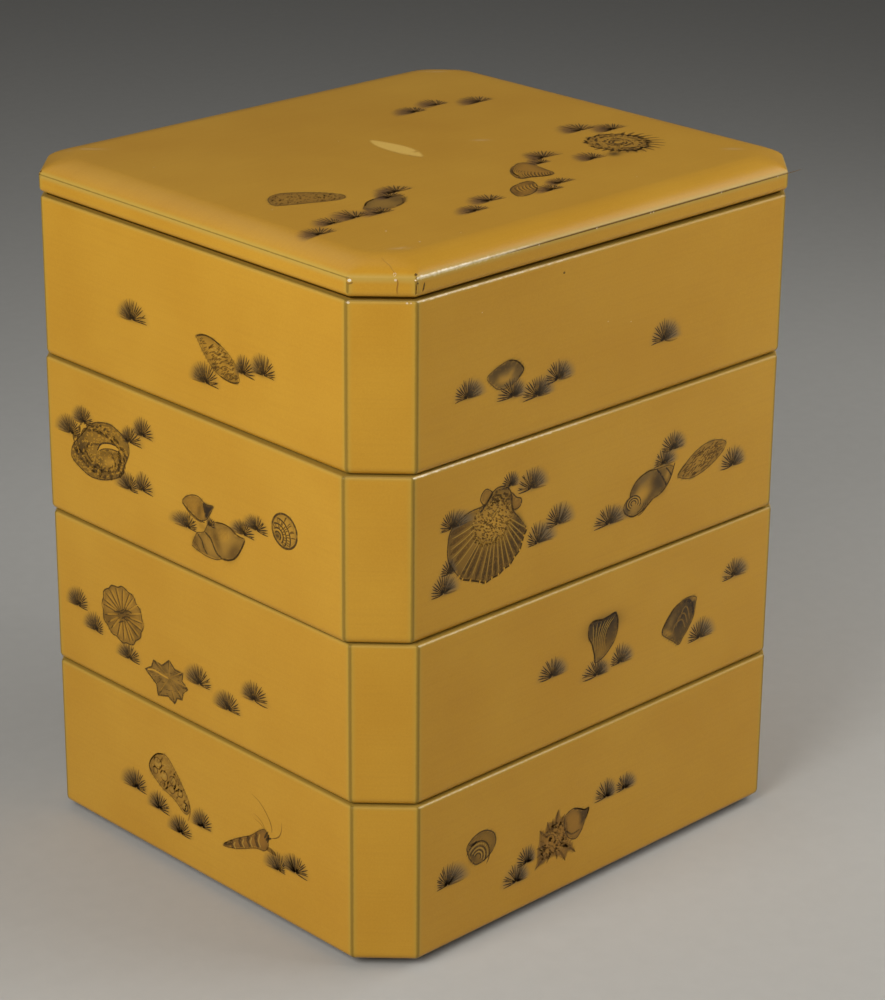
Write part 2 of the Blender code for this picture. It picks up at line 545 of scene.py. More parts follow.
@dataclass
class Shell:
    """A closed wall made by carrying a profile round the outline, with a pole at each end."""

    outline: CutCornerOutline
    profile: Profile
    standing: Standing

    def __post_init__(self) -> None:
        """Work out the grid of rows and columns, with the two poles beside it."""
        self.columns = self.outline.columns()
        rows = self.profile.array()
        inset, height, radius, spread = (rows[:, i][:, None, None] for i in range(4))
        plan = (self.columns["base"] - (inset + radius) * self.columns["pull"]
                + radius * self.columns["normal"]) * spread
        level = np.broadcast_to(height, plan.shape[:2] + (1,))
        self.grid = np.concatenate([plan, level], axis=2)
        step = np.linalg.norm(np.diff(rows[:, :2], axis=0), axis=1)
        self.travel = np.concatenate([[0.0], np.cumsum(step)])
        self.count = self.grid.shape[:2]

    def flat_list(self, values: np.ndarray, poles: np.ndarray) -> np.ndarray:
        """List values of the grid between those of the first and the last pole."""
        return np.concatenate([poles[:1], values.reshape(-1, values.shape[-1]), poles[1:]])

    def build(self, name: str) -> Object:
        """Make the object: quads between the rows, and a fan of triangles to each pole.

        Args:
            name: the object's name.

        Returns:
            The object.
        """
        rows, around = self.count
        poles = np.zeros((2, 3))
        poles[:, 2] = self.grid[[0, -1], 0, 2]
        points = self.standing.place(self.flat_list(self.grid, poles))
        column = np.arange(around)
        beside = (column + 1) % around
        low = 1 + np.arange(rows - 1)[:, None] * around
        quads = np.stack([low + column, low + beside, low + around + beside, low + around + column],
                         axis=2).reshape(-1, 4)
        last = 1 + (rows - 1) * around
        first_fan = np.stack([np.zeros(around), 1 + beside, 1 + column], axis=1)
        last_fan = np.stack([np.full(around, last + around), last + column, last + beside], axis=1)
        return mesh_object(name, points, [quads, first_fan.astype(int), last_fan.astype(int)])

    def bake_map(self, islands: list[tuple], size: float) -> np.ndarray:
        """Lay the wall out flat, stretch by stretch.

        Args:
            islands: for each stretch of rows its first and last row, its low left corner on the
                sheet, its scale, and the number of strips a wall is cut into or 0 where the stretch
                is level and keeps its plan.
            size: the millimetres that the sheet's width stands for.

        Returns:
            A pair of numbers for each face corner, in the order that build lists the faces.
        """
        rows, around = self.count
        run = self.columns["run"]
        corners = np.zeros((rows - 1, around, 4, 2))
        for first, last, left, low, scale, strips in islands:
            if strips:
                strip = np.floor(run[:-1] * strips / run[-1] * 0.99999)
                tall = self.travel[last] - self.travel[first] + 2.0
                start = strip * run[-1] / strips
                across = np.stack([run[:-1], run[1:], run[1:], run[:-1]], axis=1) - start[:, None]
                up = (self.travel - self.travel[first])[first:last + 1]
                raised = np.stack([up[:-1], up[:-1], up[1:], up[1:]], axis=1)[:, None, :]
                raised = raised + strip[None, :, None] * tall
                block = np.stack(np.broadcast_arrays(across[None], raised), axis=3)
            else:
                plan = self.grid[first:last + 1, :, :2]
                beside = np.roll(plan, -1, axis=1)
                block = np.stack([plan[:-1], beside[:-1], beside[1:], plan[1:]], axis=2)
            corners[first:last] = np.array([left, low]) + block * scale
        fans = [self.fan_map(row, island) for row, island in ((0, islands[0]), (-1, islands[-1]))]
        return np.concatenate([corners.reshape(-1, 2), *fans]) / size

    def fan_map(self, row: int, island: tuple) -> np.ndarray:
        """Lay the fan of triangles at one pole out flat, beside the level stretch that meets it.

        Args:
            row: the first or last row, by its index.
            island: the stretch that meets it.

        Returns:
            A pair of millimetres for each corner of the fan's triangles.
        """
        plan = self.grid[row, :, :2]
        beside = np.roll(plan, -1, axis=0)
        middle = np.zeros_like(plan)
        order = (middle, beside, plan) if row == 0 else (middle, plan, beside)
        return (np.array(island[2:4]) + np.stack(order, axis=1) * island[4]).reshape(-1, 2)


@dataclass(frozen=True)
class BoxPlan:
    """The plan that every piece of the stack shares."""

    width: float = 240.0
    depth: float = 218.0
    wall: float = 5.5
    nest: float = 8.0

    def outline(self, leg: float, painted: float, plain: float) -> CutCornerOutline:
        """The cut-corner outline, with close columns on the two painted fronts.

        Args:
            leg: how far each corner is cut along both sides.
            painted: millimetres from column to column on the two fronts.
            plain: the same on the other long sides.

        Returns:
            The outline.
        """
        spacing = {k: 7.0 for k in range(SIDES)}
        spacing.update({EAST.value: plain, NORTH.value: plain,
                        WEST.value: painted, SOUTH.value: painted})
        return CutCornerOutline(self.width, self.depth, leg, spacing)


@dataclass
class Carcass:
    """What the trays and the lid share: a wall carried round the plan, and its coats of lacquer."""

    name: str
    standing: Standing
    plan: BoxPlan = field(default_factory=BoxPlan)
    leg: float = 18.3
    sheet: float = 442.0

    def lie(self, side: int) -> Laying:
        """The way places on an upright side and heights above it lie in the piece's millimetres."""
        return self.plan.outline(self.leg, 9.0, 9.0).lie(side)

    def dress(self, shell: Shell, made: str, lacquer: Material, upright: slice,
              edges: tuple[np.ndarray, ...], paint: np.ndarray, islands: list[tuple]) -> Object:
        """Make the object, with what its finish reads: flow, edges, paint and a bake map.

        Flow is the millimetres along and across the brush strokes, which run round the upright
        rows and along X on the level ones.

        Args:
            shell: the wall.
            made: the object's name.
            lacquer: its finish.
            upright: the rows that are brushed round the walls.
            edges: the millimetres to the nearest arris, to the rim or ridge and to the lower edge.
            paint: colour and cover of the painted washes.
            islands: the stretches of the bake map, whose sheet is as wide as the field sheet.

        Returns:
            The object.
        """
        flow = shell.grid.copy()
        flow[..., 2] = LEVEL_FLOW
        flow[upright, :, 0] = shell.columns["run"][:-1]
        flow[upright, :, 1] = shell.profile.array()[upright, 1][:, None]
        flow[upright, :, 2] = 0.0
        piece = shell.build(made)
        middle = np.array([[0.0, 0.0, LEVEL_FLOW]] * 2)
        nearest = np.stack(np.broadcast_arrays(*edges), axis=2)
        set_attribute(piece, "flow", shell.flat_list(flow, middle))
        set_attribute(piece, "edges", shell.flat_list(nearest, np.full((2, 3), FAR)))
        set_attribute(piece, "paint", shell.flat_list(paint, paint[[0, -1], 0]))
        set_bake_map(piece, shell.bake_map(islands, self.sheet))
        piece.data.materials.append(lacquer)
        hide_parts(self.name)
        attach(piece, "root")
        return piece


@dataclass
class Tray(Carcass):
    """One tier: an open tray with a rounded lower edge, a crisp rim and a foot set in below."""

    height: float = 67.4
    floor: float = 5.0
    foot_drop: float = 3.0
    lower_round: float = 3.2
    ease: float = 0.4
    rim_round: float = 0.9
    cove: float = 1.0
    column_step: float = 1.15
    row_step: float = 1.15

    def section(self) -> Profile:
        """The tray's section from the middle of its foot, out, up, over the rim and in to its floor."""
        nest, top, wall = self.plan.nest, self.height, self.plan.wall
        line = Profile()
        line.start(nest + self.ease, -self.foot_drop, spread=0.5)
        line.to(nest + self.ease, -self.foot_drop)
        line.mark("foot")
        line.to(nest, self.ease - self.foot_drop)
        line.to(nest, 0.0)
        line.to(self.lower_round + self.ease, 0.0)
        line.to(self.lower_round, 0.0)
        line.mark("edge")
        line.turn(0.0, self.lower_round, upright_first=False, steps=7)
        line.mark("wall_low")
        line.to(0.0, self.lower_round + self.ease)
        rise = top - self.lower_round - 2.0 * self.ease - self.rim_round
        line.to(0.0, top - self.rim_round - self.ease, steps=int(round(rise / self.row_step)))
        line.to(0.0, top - self.rim_round)
        line.turn(self.rim_round, top, upright_first=True, steps=5)
        line.mark("rim")
        line.to(self.rim_round + self.ease, top)
        line.to(wall - 2.0 * self.ease, top)
        line.to(wall - self.ease, top, radius=self.cove)
        line.mark("rim_in")
        line.turn(wall, top - self.ease, upright_first=False, steps=3)
        line.to(wall, top - 2.0 * self.ease)
        line.to(wall, self.floor + self.cove, steps=8)
        line.turn(wall + self.cove, self.floor, upright_first=True, steps=3)
        line.mark("floor")
        line.to(wall + 2.0 * self.cove, self.floor)
        line.to(wall + 2.0 * self.cove, self.floor, spread=0.5)
        return line

    def shell(self) -> Shell:
        """The section carried round the outline."""
        outline = self.plan.outline(self.leg, self.column_step, 2.0 * self.column_step)
        return Shell(outline, self.section(), self.standing)

    def edges(self, shell: Shell) -> tuple[np.ndarray, ...]:
        """Millimetres to the nearest upright arris, to the rim and to the lower edge, on the outside.

        Args:
            shell: the wall.

        Returns:
            Three arrays that broadcast to the grid.
        """
        marks, travel = shell.profile.marks, shell.travel[:, None]
        row = np.arange(shell.count[0])[:, None]
        outside = (row > marks["foot"]) & (row <= marks["rim"])
        arris = np.where(outside, shell.columns["arris"], FAR)
        rim = np.minimum(np.abs(travel - travel[marks["rim"]]), np.abs(travel - travel[marks["rim_in"]]))
        return arris, rim, np.where(outside, np.maximum(travel - travel[marks["edge"]], 0.0), FAR)

    def washes(self, shell: Shell, brushes: dict[Side, Brush]) -> np.ndarray:
        """The painted washes as colour and cover for each place of the grid.

        Args:
            shell: the wall.
            brushes: what is painted on its long faces.

        Returns:
            (rows, columns, 4) colour and cover.
        """
        paint = np.zeros(shell.count + (4,))
        marks, level = shell.profile.marks, shell.profile.array()[:, 1]
        rows = np.arange(marks["wall_low"], marks["rim"] + 1)
        for side, brush in brushes.items():
            columns = np.flatnonzero(shell.columns["side"] == side.value)
            along, high = np.meshgrid(shell.columns["along"][columns], level[rows])
            place = np.stack([along.ravel(), high.ravel()], axis=1)
            paint[np.ix_(rows, columns)] = lay_washes(brush.washes, place).reshape(
                len(rows), len(columns), 4)
        return paint

    def build(self, lacquer: Material, brushes: dict[Side, Brush]) -> Object:
        """Make the tray and dress it.

        Args:
            lacquer: its finish.
            brushes: what is painted on its long faces.

        Returns:
            The tray's object.
        """
        shell = self.shell()
        foot, rim, floor = (shell.profile.marks[name] for name in ("foot", "rim", "floor"))
        outer_tall = 2.0 * (shell.travel[rim] - shell.travel[foot] + 2.0)
        inner_tall = 2.0 * (shell.travel[floor] - shell.travel[rim] + 2.0)
        margin, half_plan = 1.0, 54.0
        level = margin + outer_tall + inner_tall + half_plan
        islands = [(0, foot, 60.0, level, 0.5, 0), (foot, rim, margin, margin, 1.0, 2),
                   (rim, floor, margin, margin + outer_tall, 1.0, 2),
                   (floor, shell.count[0] - 1, 190.0, level, 0.5, 0)]
        return self.dress(shell, self.name + "_wall", lacquer, slice(foot + 1, floor),
                          self.edges(shell), self.washes(shell, brushes), islands)


@dataclass
class Lid(Carcass):
    """The lid: an upright band, a soft shoulder that mitres softly, a flat top, a hollow below."""

    leg: float = 17.6
    sheet: float = 294.0
    band: float = 7.5
    rise: float = 5.45
    shoulder: float = 14.0
    fullness: float = 1.6
    edge_round: float = 2.4
    seat: float = 2.7
    reveal: float = 1.0
    skirt_drop: float = 4.3
    skirt_wall: float = 4.0
    ceiling: float = 8.0
    ease: float = 0.3
    cove: float = 1.0
    mitre_round: float = 16.0
    step: float = 1.5
    shoulder_steps: int = 18

    def crown(self, inset: np.ndarray) -> np.ndarray:
        """Height of the top at an inset: band + rise (1 - (1 - inset / shoulder)^n)^(1 / n)."""
        left = np.clip(1.0 - inset / self.shoulder, 0.0, 1.0)
        return self.band + self.rise * (1.0 - left ** self.fullness) ** (1.0 / self.fullness)

    def section(self) -> Profile:
        """The lid's section: from its hollow down the skirt, out, up and over to the top."""
        nest, hollow = self.plan.nest, self.plan.nest + self.skirt_wall
        line = Profile()
        line.start(hollow + 2.0 * self.cove, self.ceiling, spread=0.5)
        line.to(hollow + 2.0 * self.cove, self.ceiling)
        line.mark("hollow")
        line.to(hollow + self.cove, self.ceiling)
        line.turn(hollow, self.ceiling - self.cove, upright_first=False, steps=3)
        line.to(hollow, self.ease - self.skirt_drop, steps=2)
        line.to(hollow - self.ease, -self.skirt_drop)
        line.mark("skirt")
        line.to(nest + self.ease, -self.skirt_drop)
        line.to(nest, self.ease - self.skirt_drop)
        line.to(nest, -self.reveal)
        line.mark("joint")
        line.to(self.seat, -self.reveal)
        line.to(self.seat, 0.0)
        line.to(self.edge_round, 0.0)
        line.mark("edge")
        line.turn(0.0, self.edge_round, upright_first=False, steps=6)
        line.to(0.0, self.edge_round + self.ease)
        line.to(0.0, self.band - self.ease, steps=4)
        line.to(0.0, self.band)
        line.mark("ridge")
        turn = np.linspace(0.0, math.pi / 2.0, self.shoulder_steps + 1)[1:]
        inset = self.shoulder * (1.0 - np.cos(turn))
        round_now = line.radius + (self.mitre_round - line.radius) * np.sin(turn) ** 2
        line.rows.append(np.stack([inset, self.crown(inset), round_now, np.ones_like(inset)], axis=1))
        flat = int(round((self.plan.width / 2.0 - self.shoulder) / self.step))
        line.to(self.shoulder, self.band + self.rise, steps=flat, spread=1.0 / flat)
        return line

    def shell(self) -> Shell:
        """The section carried round the outline."""
        return Shell(self.plan.outline(self.leg, self.step, self.step), self.section(), self.standing)

    def edges(self, shell: Shell) -> tuple[np.ndarray, ...]:
        """Millimetres to the nearest arris, to the ridge and to the lower edge, on the outside.

        Args:
            shell: the wall.

        Returns:
            Three arrays that broadcast to the grid.
        """
        marks, travel = shell.profile.marks, shell.travel[:, None]
        row = np.arange(shell.count[0])[:, None]
        outside = row >= marks["edge"]
        ridge = np.where(outside, np.abs(travel - travel[marks["ridge"]]), FAR)
        inset = shell.profile.array()[:, :1]
        arris = np.where(outside, shell.columns["arris"] + 3.0 * inset, FAR)
        arris = np.minimum(arris, np.where(shell.columns["side"] % 2 == 0, 1.6 * ridge, FAR))
        lower = np.where(outside, travel - travel[marks["edge"]], FAR)
        # The seat's rows inside the joint count as at the lower edge, so painted shade darkens them
        # fully
        return arris, ridge, np.where((row > marks["joint"]) & ~outside, 0.0, lower)

    def lie_over(self, place: np.ndarray, height: np.ndarray) -> np.ndarray:
        """Lay places and heights above the top in the lid's millimetres, down over its shoulder.

        Args:
            place: (..., 2) places.
            height: (...) heights.

        Returns:
            (..., 3) positions.
        """
        x, y = np.abs(place[..., 0]), np.abs(place[..., 1])
        wide, deep = self.plan.width / 2.0, self.plan.depth / 2.0
        cut = (wide + deep - self.leg - x - y) / math.sqrt(2.0)
        inset = np.minimum(np.minimum(wide - x, deep - y), cut)
        return np.concatenate([place, (self.crown(inset) + height)[..., None]], axis=-1)

    def washes(self, shell: Shell, brush: Brush) -> np.ndarray:
        """The painted washes as colour and cover for each place of the grid.

        Args:
            shell: the wall.
            brush: what is painted on its top.

        Returns:
            (rows, columns, 4) colour and cover.
        """
        paint = np.zeros(shell.count + (4,))
        low = shell.profile.marks["ridge"]
        place = shell.grid[low:, :, :2].reshape(-1, 2)
        paint[low:] = lay_washes(brush.washes, place).reshape(paint[low:].shape)
        return paint

    def build(self, lacquer: Material, brush: Brush) -> Object:
        """Make the lid and dress it.

        Args:
            lacquer: its finish.
            brush: what is painted on its top.

        Returns:
            The lid's object.
        """
        shell = self.shell()
        hollow, skirt, ridge = (shell.profile.marks[name] for name in ("hollow", "skirt", "ridge"))
        islands = [(0, hollow, 268.0, 21.0, 0.2, 0), (hollow, skirt, 245.0, 50.0, 0.2, 4),
                   (skirt, ridge, 1.0, 222.0, 0.8, 4),
                   (ridge, shell.count[0] - 1, 121.0, 110.0, 1.0, 0)]
        return self.dress(shell, self.name + "_shell", lacquer, slice(hollow + 1, ridge + 1),
                          self.edges(shell), self.washes(shell, brush), islands)


class Ink(Enum):
    """Soot black, browns and a pale gold as they look on the ochre, and the pale ground in a chip."""

    SOOT = "281C0E"
    UMBER = "3C2A0E"
    BROWN = "54390F"
    SMOKE = "66502C"
    ASH = "6E6048"
    OLIVE = "86642A"
    SHELL = "906722"
    ROSE = "875A1E"
    SCRAPED = "BE9640"
    OCHRE = "C6922E"
    PALE_GOLD = "E8BC5A"
    MAUVE = "6A4C38"
    CHIP = "F0E6CC"


SOOT, UMBER, BROWN, SMOKE, ASH, OLIVE, SHELL, ROSE, SCRAPED, OCHRE, PALE_GOLD, MAUVE, CHIP = Ink


class Form(Enum):
    """How a stroke's width runs from its start to its end."""

    NEEDLE = "needle"
    LINE = "line"
    DAB = "dab"

    def width(self, share: np.ndarray) -> np.ndarray:
        """The part of the full width at each share of the way.

        A needle swells quickly and runs out to a point, a line is even between short tapered ends,
        and a dab is a lens.
        """
        if self is Form.NEEDLE:
            return (0.45 + 0.55 * np.minimum(share / 0.3, 1.0)) * (1.0 - 0.7 * share ** 4)
        if self is Form.LINE:
            return np.clip(np.minimum(share, 1.0 - share) * 12.0 + 0.25, 0.0, 1.0)
        return np.sqrt(np.clip(4.0 * share * (1.0 - share), 0.0, 1.0))


NEEDLE, LINE, DAB = Form


def smooth_path(knots: list | np.ndarray, count: int, closed: bool = False) -> np.ndarray:
    """Run a Catmull-Rom curve through knots: each span is a cubic of its four nearest knots.

    Args:
        knots: (n, 2) places.
        count: how many points to give.
        closed: whether the curve runs back to its start.

    Returns:
        (count, 2) points, evenly spread over the spans.
    """
    knot = np.asarray(knots, dtype=float)
    if closed:
        padded = np.concatenate([knot[-1:], knot, knot[:2]])
    else:
        padded = np.concatenate([2.0 * knot[:1] - knot[1:2], knot, 2.0 * knot[-1:] - knot[-2:-1]])
    spans = len(padded) - 3
    place = np.linspace(0.0, spans, count)
    cell = np.minimum(place.astype(int), spans - 1)
    t = (place - cell)[:, None]
    a, b, c, d = (padded[cell + i] for i in range(4))
    return 0.5 * (2.0 * b + (c - a) * t + (2.0 * a - 5.0 * b + 4.0 * c - d) * t ** 2
                  + (3.0 * b - a - 3.0 * c + d) * t ** 3)


def bent_paths(start: np.ndarray, end: np.ndarray, bend: float | np.ndarray,
               count: int) -> np.ndarray:
    """Bow ways from starts to ends to the left by 4 bend t (1 - t) of their length.

    Args:
        start: (s, 2) starts.
        end: (s, 2) ends.
        bend: the bow, one for all or (s, 1, 1).
        count: how many points a way has.

    Returns:
        (s, count, 2) places.
    """
    start, end = np.asarray(start, dtype=float), np.asarray(end, dtype=float)
    t = np.linspace(0.0, 1.0, count)[None, :, None]
    way = (end - start)[:, None]
    return start[:, None] + way * t + leftward(way) * bend * 4.0 * t * (1.0 - t)


def depth_inside(places: np.ndarray, outline: np.ndarray, margin: float = 0.0) -> np.ndarray:
    """How deep places lie inside a closed outline, below zero outside it.

    The distance is that to the nearest point of the nearest edge, and its sign comes from how many
    edges a line to the right crosses.

    Args:
        places: (n, 2) places.
        outline: (m, 2) corners.
        margin: how far round the outline's box a distance is worked out; beyond it is -FAR.

    Returns:
        (n,) distances.
    """
    low, high = outline.min(axis=0) - margin, outline.max(axis=0) + margin
    near = ((places > low) & (places < high)).all(axis=1)
    place = places[near]
    start = outline[None]
    way = np.roll(outline, -1, axis=0)[None] - start
    gap = place[:, None] - start
    square = np.maximum((way ** 2).sum(axis=2), 1e-9)
    share = np.clip((gap * way).sum(axis=2) / square, 0.0, 1.0)
    away = np.linalg.norm(gap - way * share[..., None], axis=2).min(axis=1)
    low, high = start[..., 1], start[..., 1] + way[..., 1]
    spans = (low > place[:, None, 1]) != (high > place[:, None, 1])
    steep = np.where(np.abs(way[..., 1]) < 1e-9, 1e-9, way[..., 1])
    cross = start[..., 0] + (place[:, None, 1] - low) / steep * way[..., 0]
    inside = ((spans & (cross > place[:, None, 0])).sum(axis=1) % 2) == 1
    depth = np.full(len(places), -FAR)
    depth[near] = np.where(inside, away, -away)
    return depth


@dataclass(frozen=True)
class Pool:
    """An even wash inside a closed outline, soft at its edge, that may fade downwards."""

    outline: np.ndarray
    ink: Ink
    strength: float
    soft: float = 1.2
    fade: float = 0.0

    def cover(self, place: np.ndarray) -> np.ndarray:
        """How far the wash hides the ground at each place.

        Args:
            place: (n, 2) places.

        Returns:
            (n,) shares.
        """
        share = np.clip(depth_inside(place, self.outline, self.soft) / self.soft + 0.5, 0.0, 1.0)
        high = self.outline[:, 1]
        down = np.clip((high.max() - place[:, 1]) / np.ptp(high), 0.0, 1.0)
        return self.strength * share * (1.0 - self.fade * down)


@dataclass(frozen=True)
class Hollow:
    """Shading along the inside of a closed outline: strength times exp(-depth / reach)."""

    outline: np.ndarray
    ink: Ink
    strength: float
    reach: float

    def cover(self, place: np.ndarray) -> np.ndarray:
        """How far the shading hides the ground at each place."""
        depth = depth_inside(place, self.outline)
        return self.strength * np.where(depth > 0.0, np.exp(-np.maximum(depth, 0.0) / self.reach), 0.0)


@dataclass(frozen=True)
class Cloud:
    """A soft oval blot: strength times exp(-r^power), r being 1 on the oval."""

    middle: Pair
    half: Pair
    turn: float
    ink: Ink
    strength: float
    power: float = 2.4

    def cover(self, place: np.ndarray) -> np.ndarray:
        """How far the blot hides the ground at each place."""
        gap = (place - np.array(self.middle)) @ spin(-self.turn)
        radius = np.linalg.norm(gap / np.array(self.half), axis=1)
        return self.strength * np.exp(-radius ** self.power)


@dataclass(frozen=True)
class FanSmoke:
    """The half-round smoke behind a tuft of needles, thick on one side and thin on the other."""

    foot: Pair
    left: float
    right: float
    tall: float
    side: float
    ink: Ink
    thick: float
    thin: float

    def cover(self, place: np.ndarray) -> np.ndarray:
        """How far the smoke hides the ground at each place.

        In a fan whose edge is an ellipse from the foot, the cover falls off from half way out, from
        thick to thin by the cosine of the angle, and it stops softly at the base line.

        Args:
            place: (n, 2) places.

        Returns:
            (n,) shares.
        """
        gap = place - np.array(self.foot)
        wide = np.where(gap[:, 0] > 0.0, self.right, self.left)
        out = np.sqrt((gap[:, 0] / wide) ** 2 + (gap[:, 1] / self.tall) ** 2)
        lean = np.clip(0.5 + 0.75 * self.side * gap[:, 0] / np.maximum(np.linalg.norm(gap, axis=1), 0.3),
                       0.0, 1.0)
        edge = np.clip((1.12 - out) / 0.45, 0.0, 1.0) ** 0.9
        base = np.clip(gap[:, 1] / 1.2 + 0.75, 0.0, 1.0)
        return (self.thin + (self.thick - self.thin) * lean) * edge * base


@dataclass
class Brush:
    """Strokes and washes on one face, in its own millimetres, moved or mirrored where asked."""

    chance: np.random.Generator
    strokes: list[tuple] = field(default_factory=list)
    washes: list = field(default_factory=list)
    shift: Pair = (0.0, 0.0)
    mirror: float = 1.0
    smoke: Ink = SMOKE
    smoke_depth: float = 1.0
    needle: Ink = SOOT

    def at(self, u: float, v: float, mirrored: bool = False) -> Brush:
        """The same brush with everything moved, and mirrored left to right if asked."""
        return Brush(self.chance, self.strokes, self.washes, (u, v), -1.0 if mirrored else 1.0,
                     self.smoke, self.smoke_depth, self.needle)

    def laid(self, points: np.ndarray | list | tuple) -> np.ndarray:
        """Places on the face, with this brush's mirror and shift."""
        return np.asarray(points, dtype=float) * (self.mirror, 1.0) + self.shift

    def ink(self, points: np.ndarray, width: float | np.ndarray, ink: Ink, form: Form = LINE,
            cover: float | np.ndarray = 1.0, end_cover: float | np.ndarray | None = None,
            lift: float = 0.0) -> None:
        """Lay strokes.

        Args:
            points: (p, 2) or (s, p, 2) places along each stroke.
            width: the full width in millimetres, one for all or (s,).
            ink: the colour.
            form: how the width runs.
            cover: how far the ink hides the ground at the start, one for all or (s,).
            end_cover: the same at the end, as at the start where none is given.
            lift: how much higher than usual the ink lies, in millimetres.
        """
        path = self.laid(points if np.ndim(points) == 3 else np.asarray(points)[None])
        share = np.linspace(0.0, 1.0, path.shape[1])
        half = 0.5 * np.broadcast_to(width, (len(path),))[:, None] * form.width(share)
        first = np.broadcast_to(cover, (len(path),))[:, None]
        last = first if end_cover is None else np.broadcast_to(end_cover, (len(path),))[:, None]
        tint = np.ones(path.shape[:2] + (4,)) * np.array([*linear(ink.value), 1.0])
        tint[..., 3] = first + (last - first) * share
        self.strokes.append((path, half, tint, lift))

    def line(self, knots: list, width: float = 0.4, ink: Ink = BROWN, cover: float = 0.9,
             end_cover: float | None = None, form: Form = LINE, lift: float = 0.0) -> None:
        """Draw one smooth line through knots."""
        path = smooth_path(knots, 6 * len(knots) + 2)
        self.ink(path, width, ink, form, cover, end_cover, lift)

    def shell(self, knots: list, ink: Ink, strength: float, line: Ink = UMBER, width: float = 0.55,
              fade: float = 0.0, line_cover: float = 0.9, smooth: bool = True) -> np.ndarray:
        """Wash a closed shape and draw its outline.

        Args:
            knots: the outline's knots.
            ink: the wash's colour.
            strength: how far the wash hides the ground.
            line: the outline's colour.
            width: the outline's width.
            fade: how much of the wash fades toward its foot.
            line_cover: how far the outline hides the ground.
            smooth: whether the outline is a curve and not straight between its knots.

        Returns:
            The outline's points.
        """
        if smooth:
            outline = smooth_path(knots, 6 * len(knots) + 1, closed=True)
        else:
            ring = np.asarray(knots + knots[:1], dtype=float)
            place = np.linspace(0.0, len(knots), 5 * len(knots) + 1)
            outline = np.stack([np.interp(place, np.arange(len(ring)), ring[:, i])
                                for i in range(2)], axis=1)
        self.washes.append(Pool(self.laid(outline[:-1]), ink, strength, fade=fade))
        self.washes.append(Hollow(self.laid(outline[:-1]), UMBER, 0.60, 1.6))
        half = len(outline) // 2
        for part in (outline[:half + 1], outline[half:]):
            self.ink(part, width, line, cover=line_cover)
        return outline

    def wash(self, knots: list, count: int, ink: Ink, strength: float, soft: float) -> None:
        """Wash a closed smooth shape of so many points, soft over some millimetres at its edge."""
        outline = smooth_path(knots, count, closed=True)
        self.washes.append(Pool(self.laid(outline), ink, strength, soft))

    def blot(self, middle: Pair, half: Pair, turn: float, ink: Ink, strength: float) -> None:
        """Set a soft oval blot."""
        place = tuple(self.laid(middle))
        self.washes.append(Cloud(place, half, turn * self.mirror, ink, strength))

    def blots(self, *spots: tuple) -> None:
        """Set soft oval blots, each by its u and v, half width and height, turn, ink and strength."""
        for u, v, wide, tall, turn, ink, strength in spots:
            self.blot((u, v), (wide, tall), turn, ink, strength)

    def mottle(self, outline: np.ndarray, count: int, turn: float, length: float, width: float,
               ink: Ink = BROWN, cover: float = 0.6, margin: float = 1.0) -> None:
        """Scatter short dabs inside an outline.

        Args:
            outline: the closed outline.
            count: how many dabs.
            turn: their direction in degrees.
            length: their length, which varies by a third.
            width: their width, which varies by a third.
            ink: their colour.
            cover: how far they hide the ground.
            margin: how deep inside the outline they stay.
        """
        low, high = outline.min(axis=0), outline.max(axis=0)
        place = self.chance.uniform(low, high, (count * 5, 2))
        place = place[depth_inside(place, outline[:-1]) > margin][:count]
        vary = self.chance.uniform(0.66, 1.33, (2, len(place)))
        angle = np.radians(turn + self.chance.normal(0.0, 14.0, len(place)))
        way = unit(angle)
        share = np.linspace(-0.5, 0.5, 5)[None, :, None]
        bend = self.chance.normal(0.0, 0.12, len(place))[:, None, None]
        path = place[:, None] + length * vary[0][:, None, None] * (
            way[:, None] * share + leftward(way)[:, None] * bend * (0.25 - share ** 2))
        self.ink(path, width * vary[1], ink, DAB, cover)

    def ring(self, middle: Pair, half: Pair, count: int, length: float,
             width: float, ink: Ink = UMBER, cover: float = 0.85, slant: float = 0.0) -> None:
        """Set dabs round an oval.

        Args:
            middle: the oval's middle.
            half: its half width and half height.
            count: how many dabs.
            length: their length.
            width: their width.
            ink: their colour.
            cover: how far they hide the ground.
            slant: how far they lean from the oval's own direction, in degrees.
        """
        angle = np.linspace(0.0, 2.0 * math.pi, count, endpoint=False)
        angle = angle + self.chance.normal(0.0, 0.06, count)
        out = unit(angle) * self.chance.uniform(0.94, 1.06, (count, 1))
        place = np.array(middle) + out * half
        turn = np.arctan2(np.cos(angle) * half[1], -np.sin(angle) * half[0])
        turn = turn + math.radians(slant) + self.chance.normal(0.0, 0.25, count)
        way = 0.5 * length * unit(turn)
        vary = self.chance.uniform(0.6, 1.3, (count, 1))
        self.spread(place - way * vary, place + way * vary, width * vary[:, 0], ink, cover, form=DAB)

    def spread(self, start: np.ndarray, end: np.ndarray, width: float | np.ndarray, ink: Ink,
               cover: float = 0.8, end_cover: float | None = None, form: Form = LINE,
               bend: float = 0.0, lift: float = 0.0) -> None:
        """Draw one stroke from each start to its end, bent sideways by a share of its length."""
        self.ink(bent_paths(start, end, bend, 7), width, ink, form, cover, end_cover, lift)

    def arcs(self, middle: Pair, radii: list[float], first: float, last: float, width: float,
             ink: Ink, cover: float, squash: float = 1.0, turn: float = 0.0) -> None:
        """Draw nested arcs about a middle, from one angle to another, as parts of ellipses."""
        arc = (unit(np.radians(np.linspace(first, last, 18))) * (1.0, squash)) @ spin(turn)
        self.ink(np.array(middle) + np.array(radii)[:, None, None] * arc, width, ink, cover=cover)

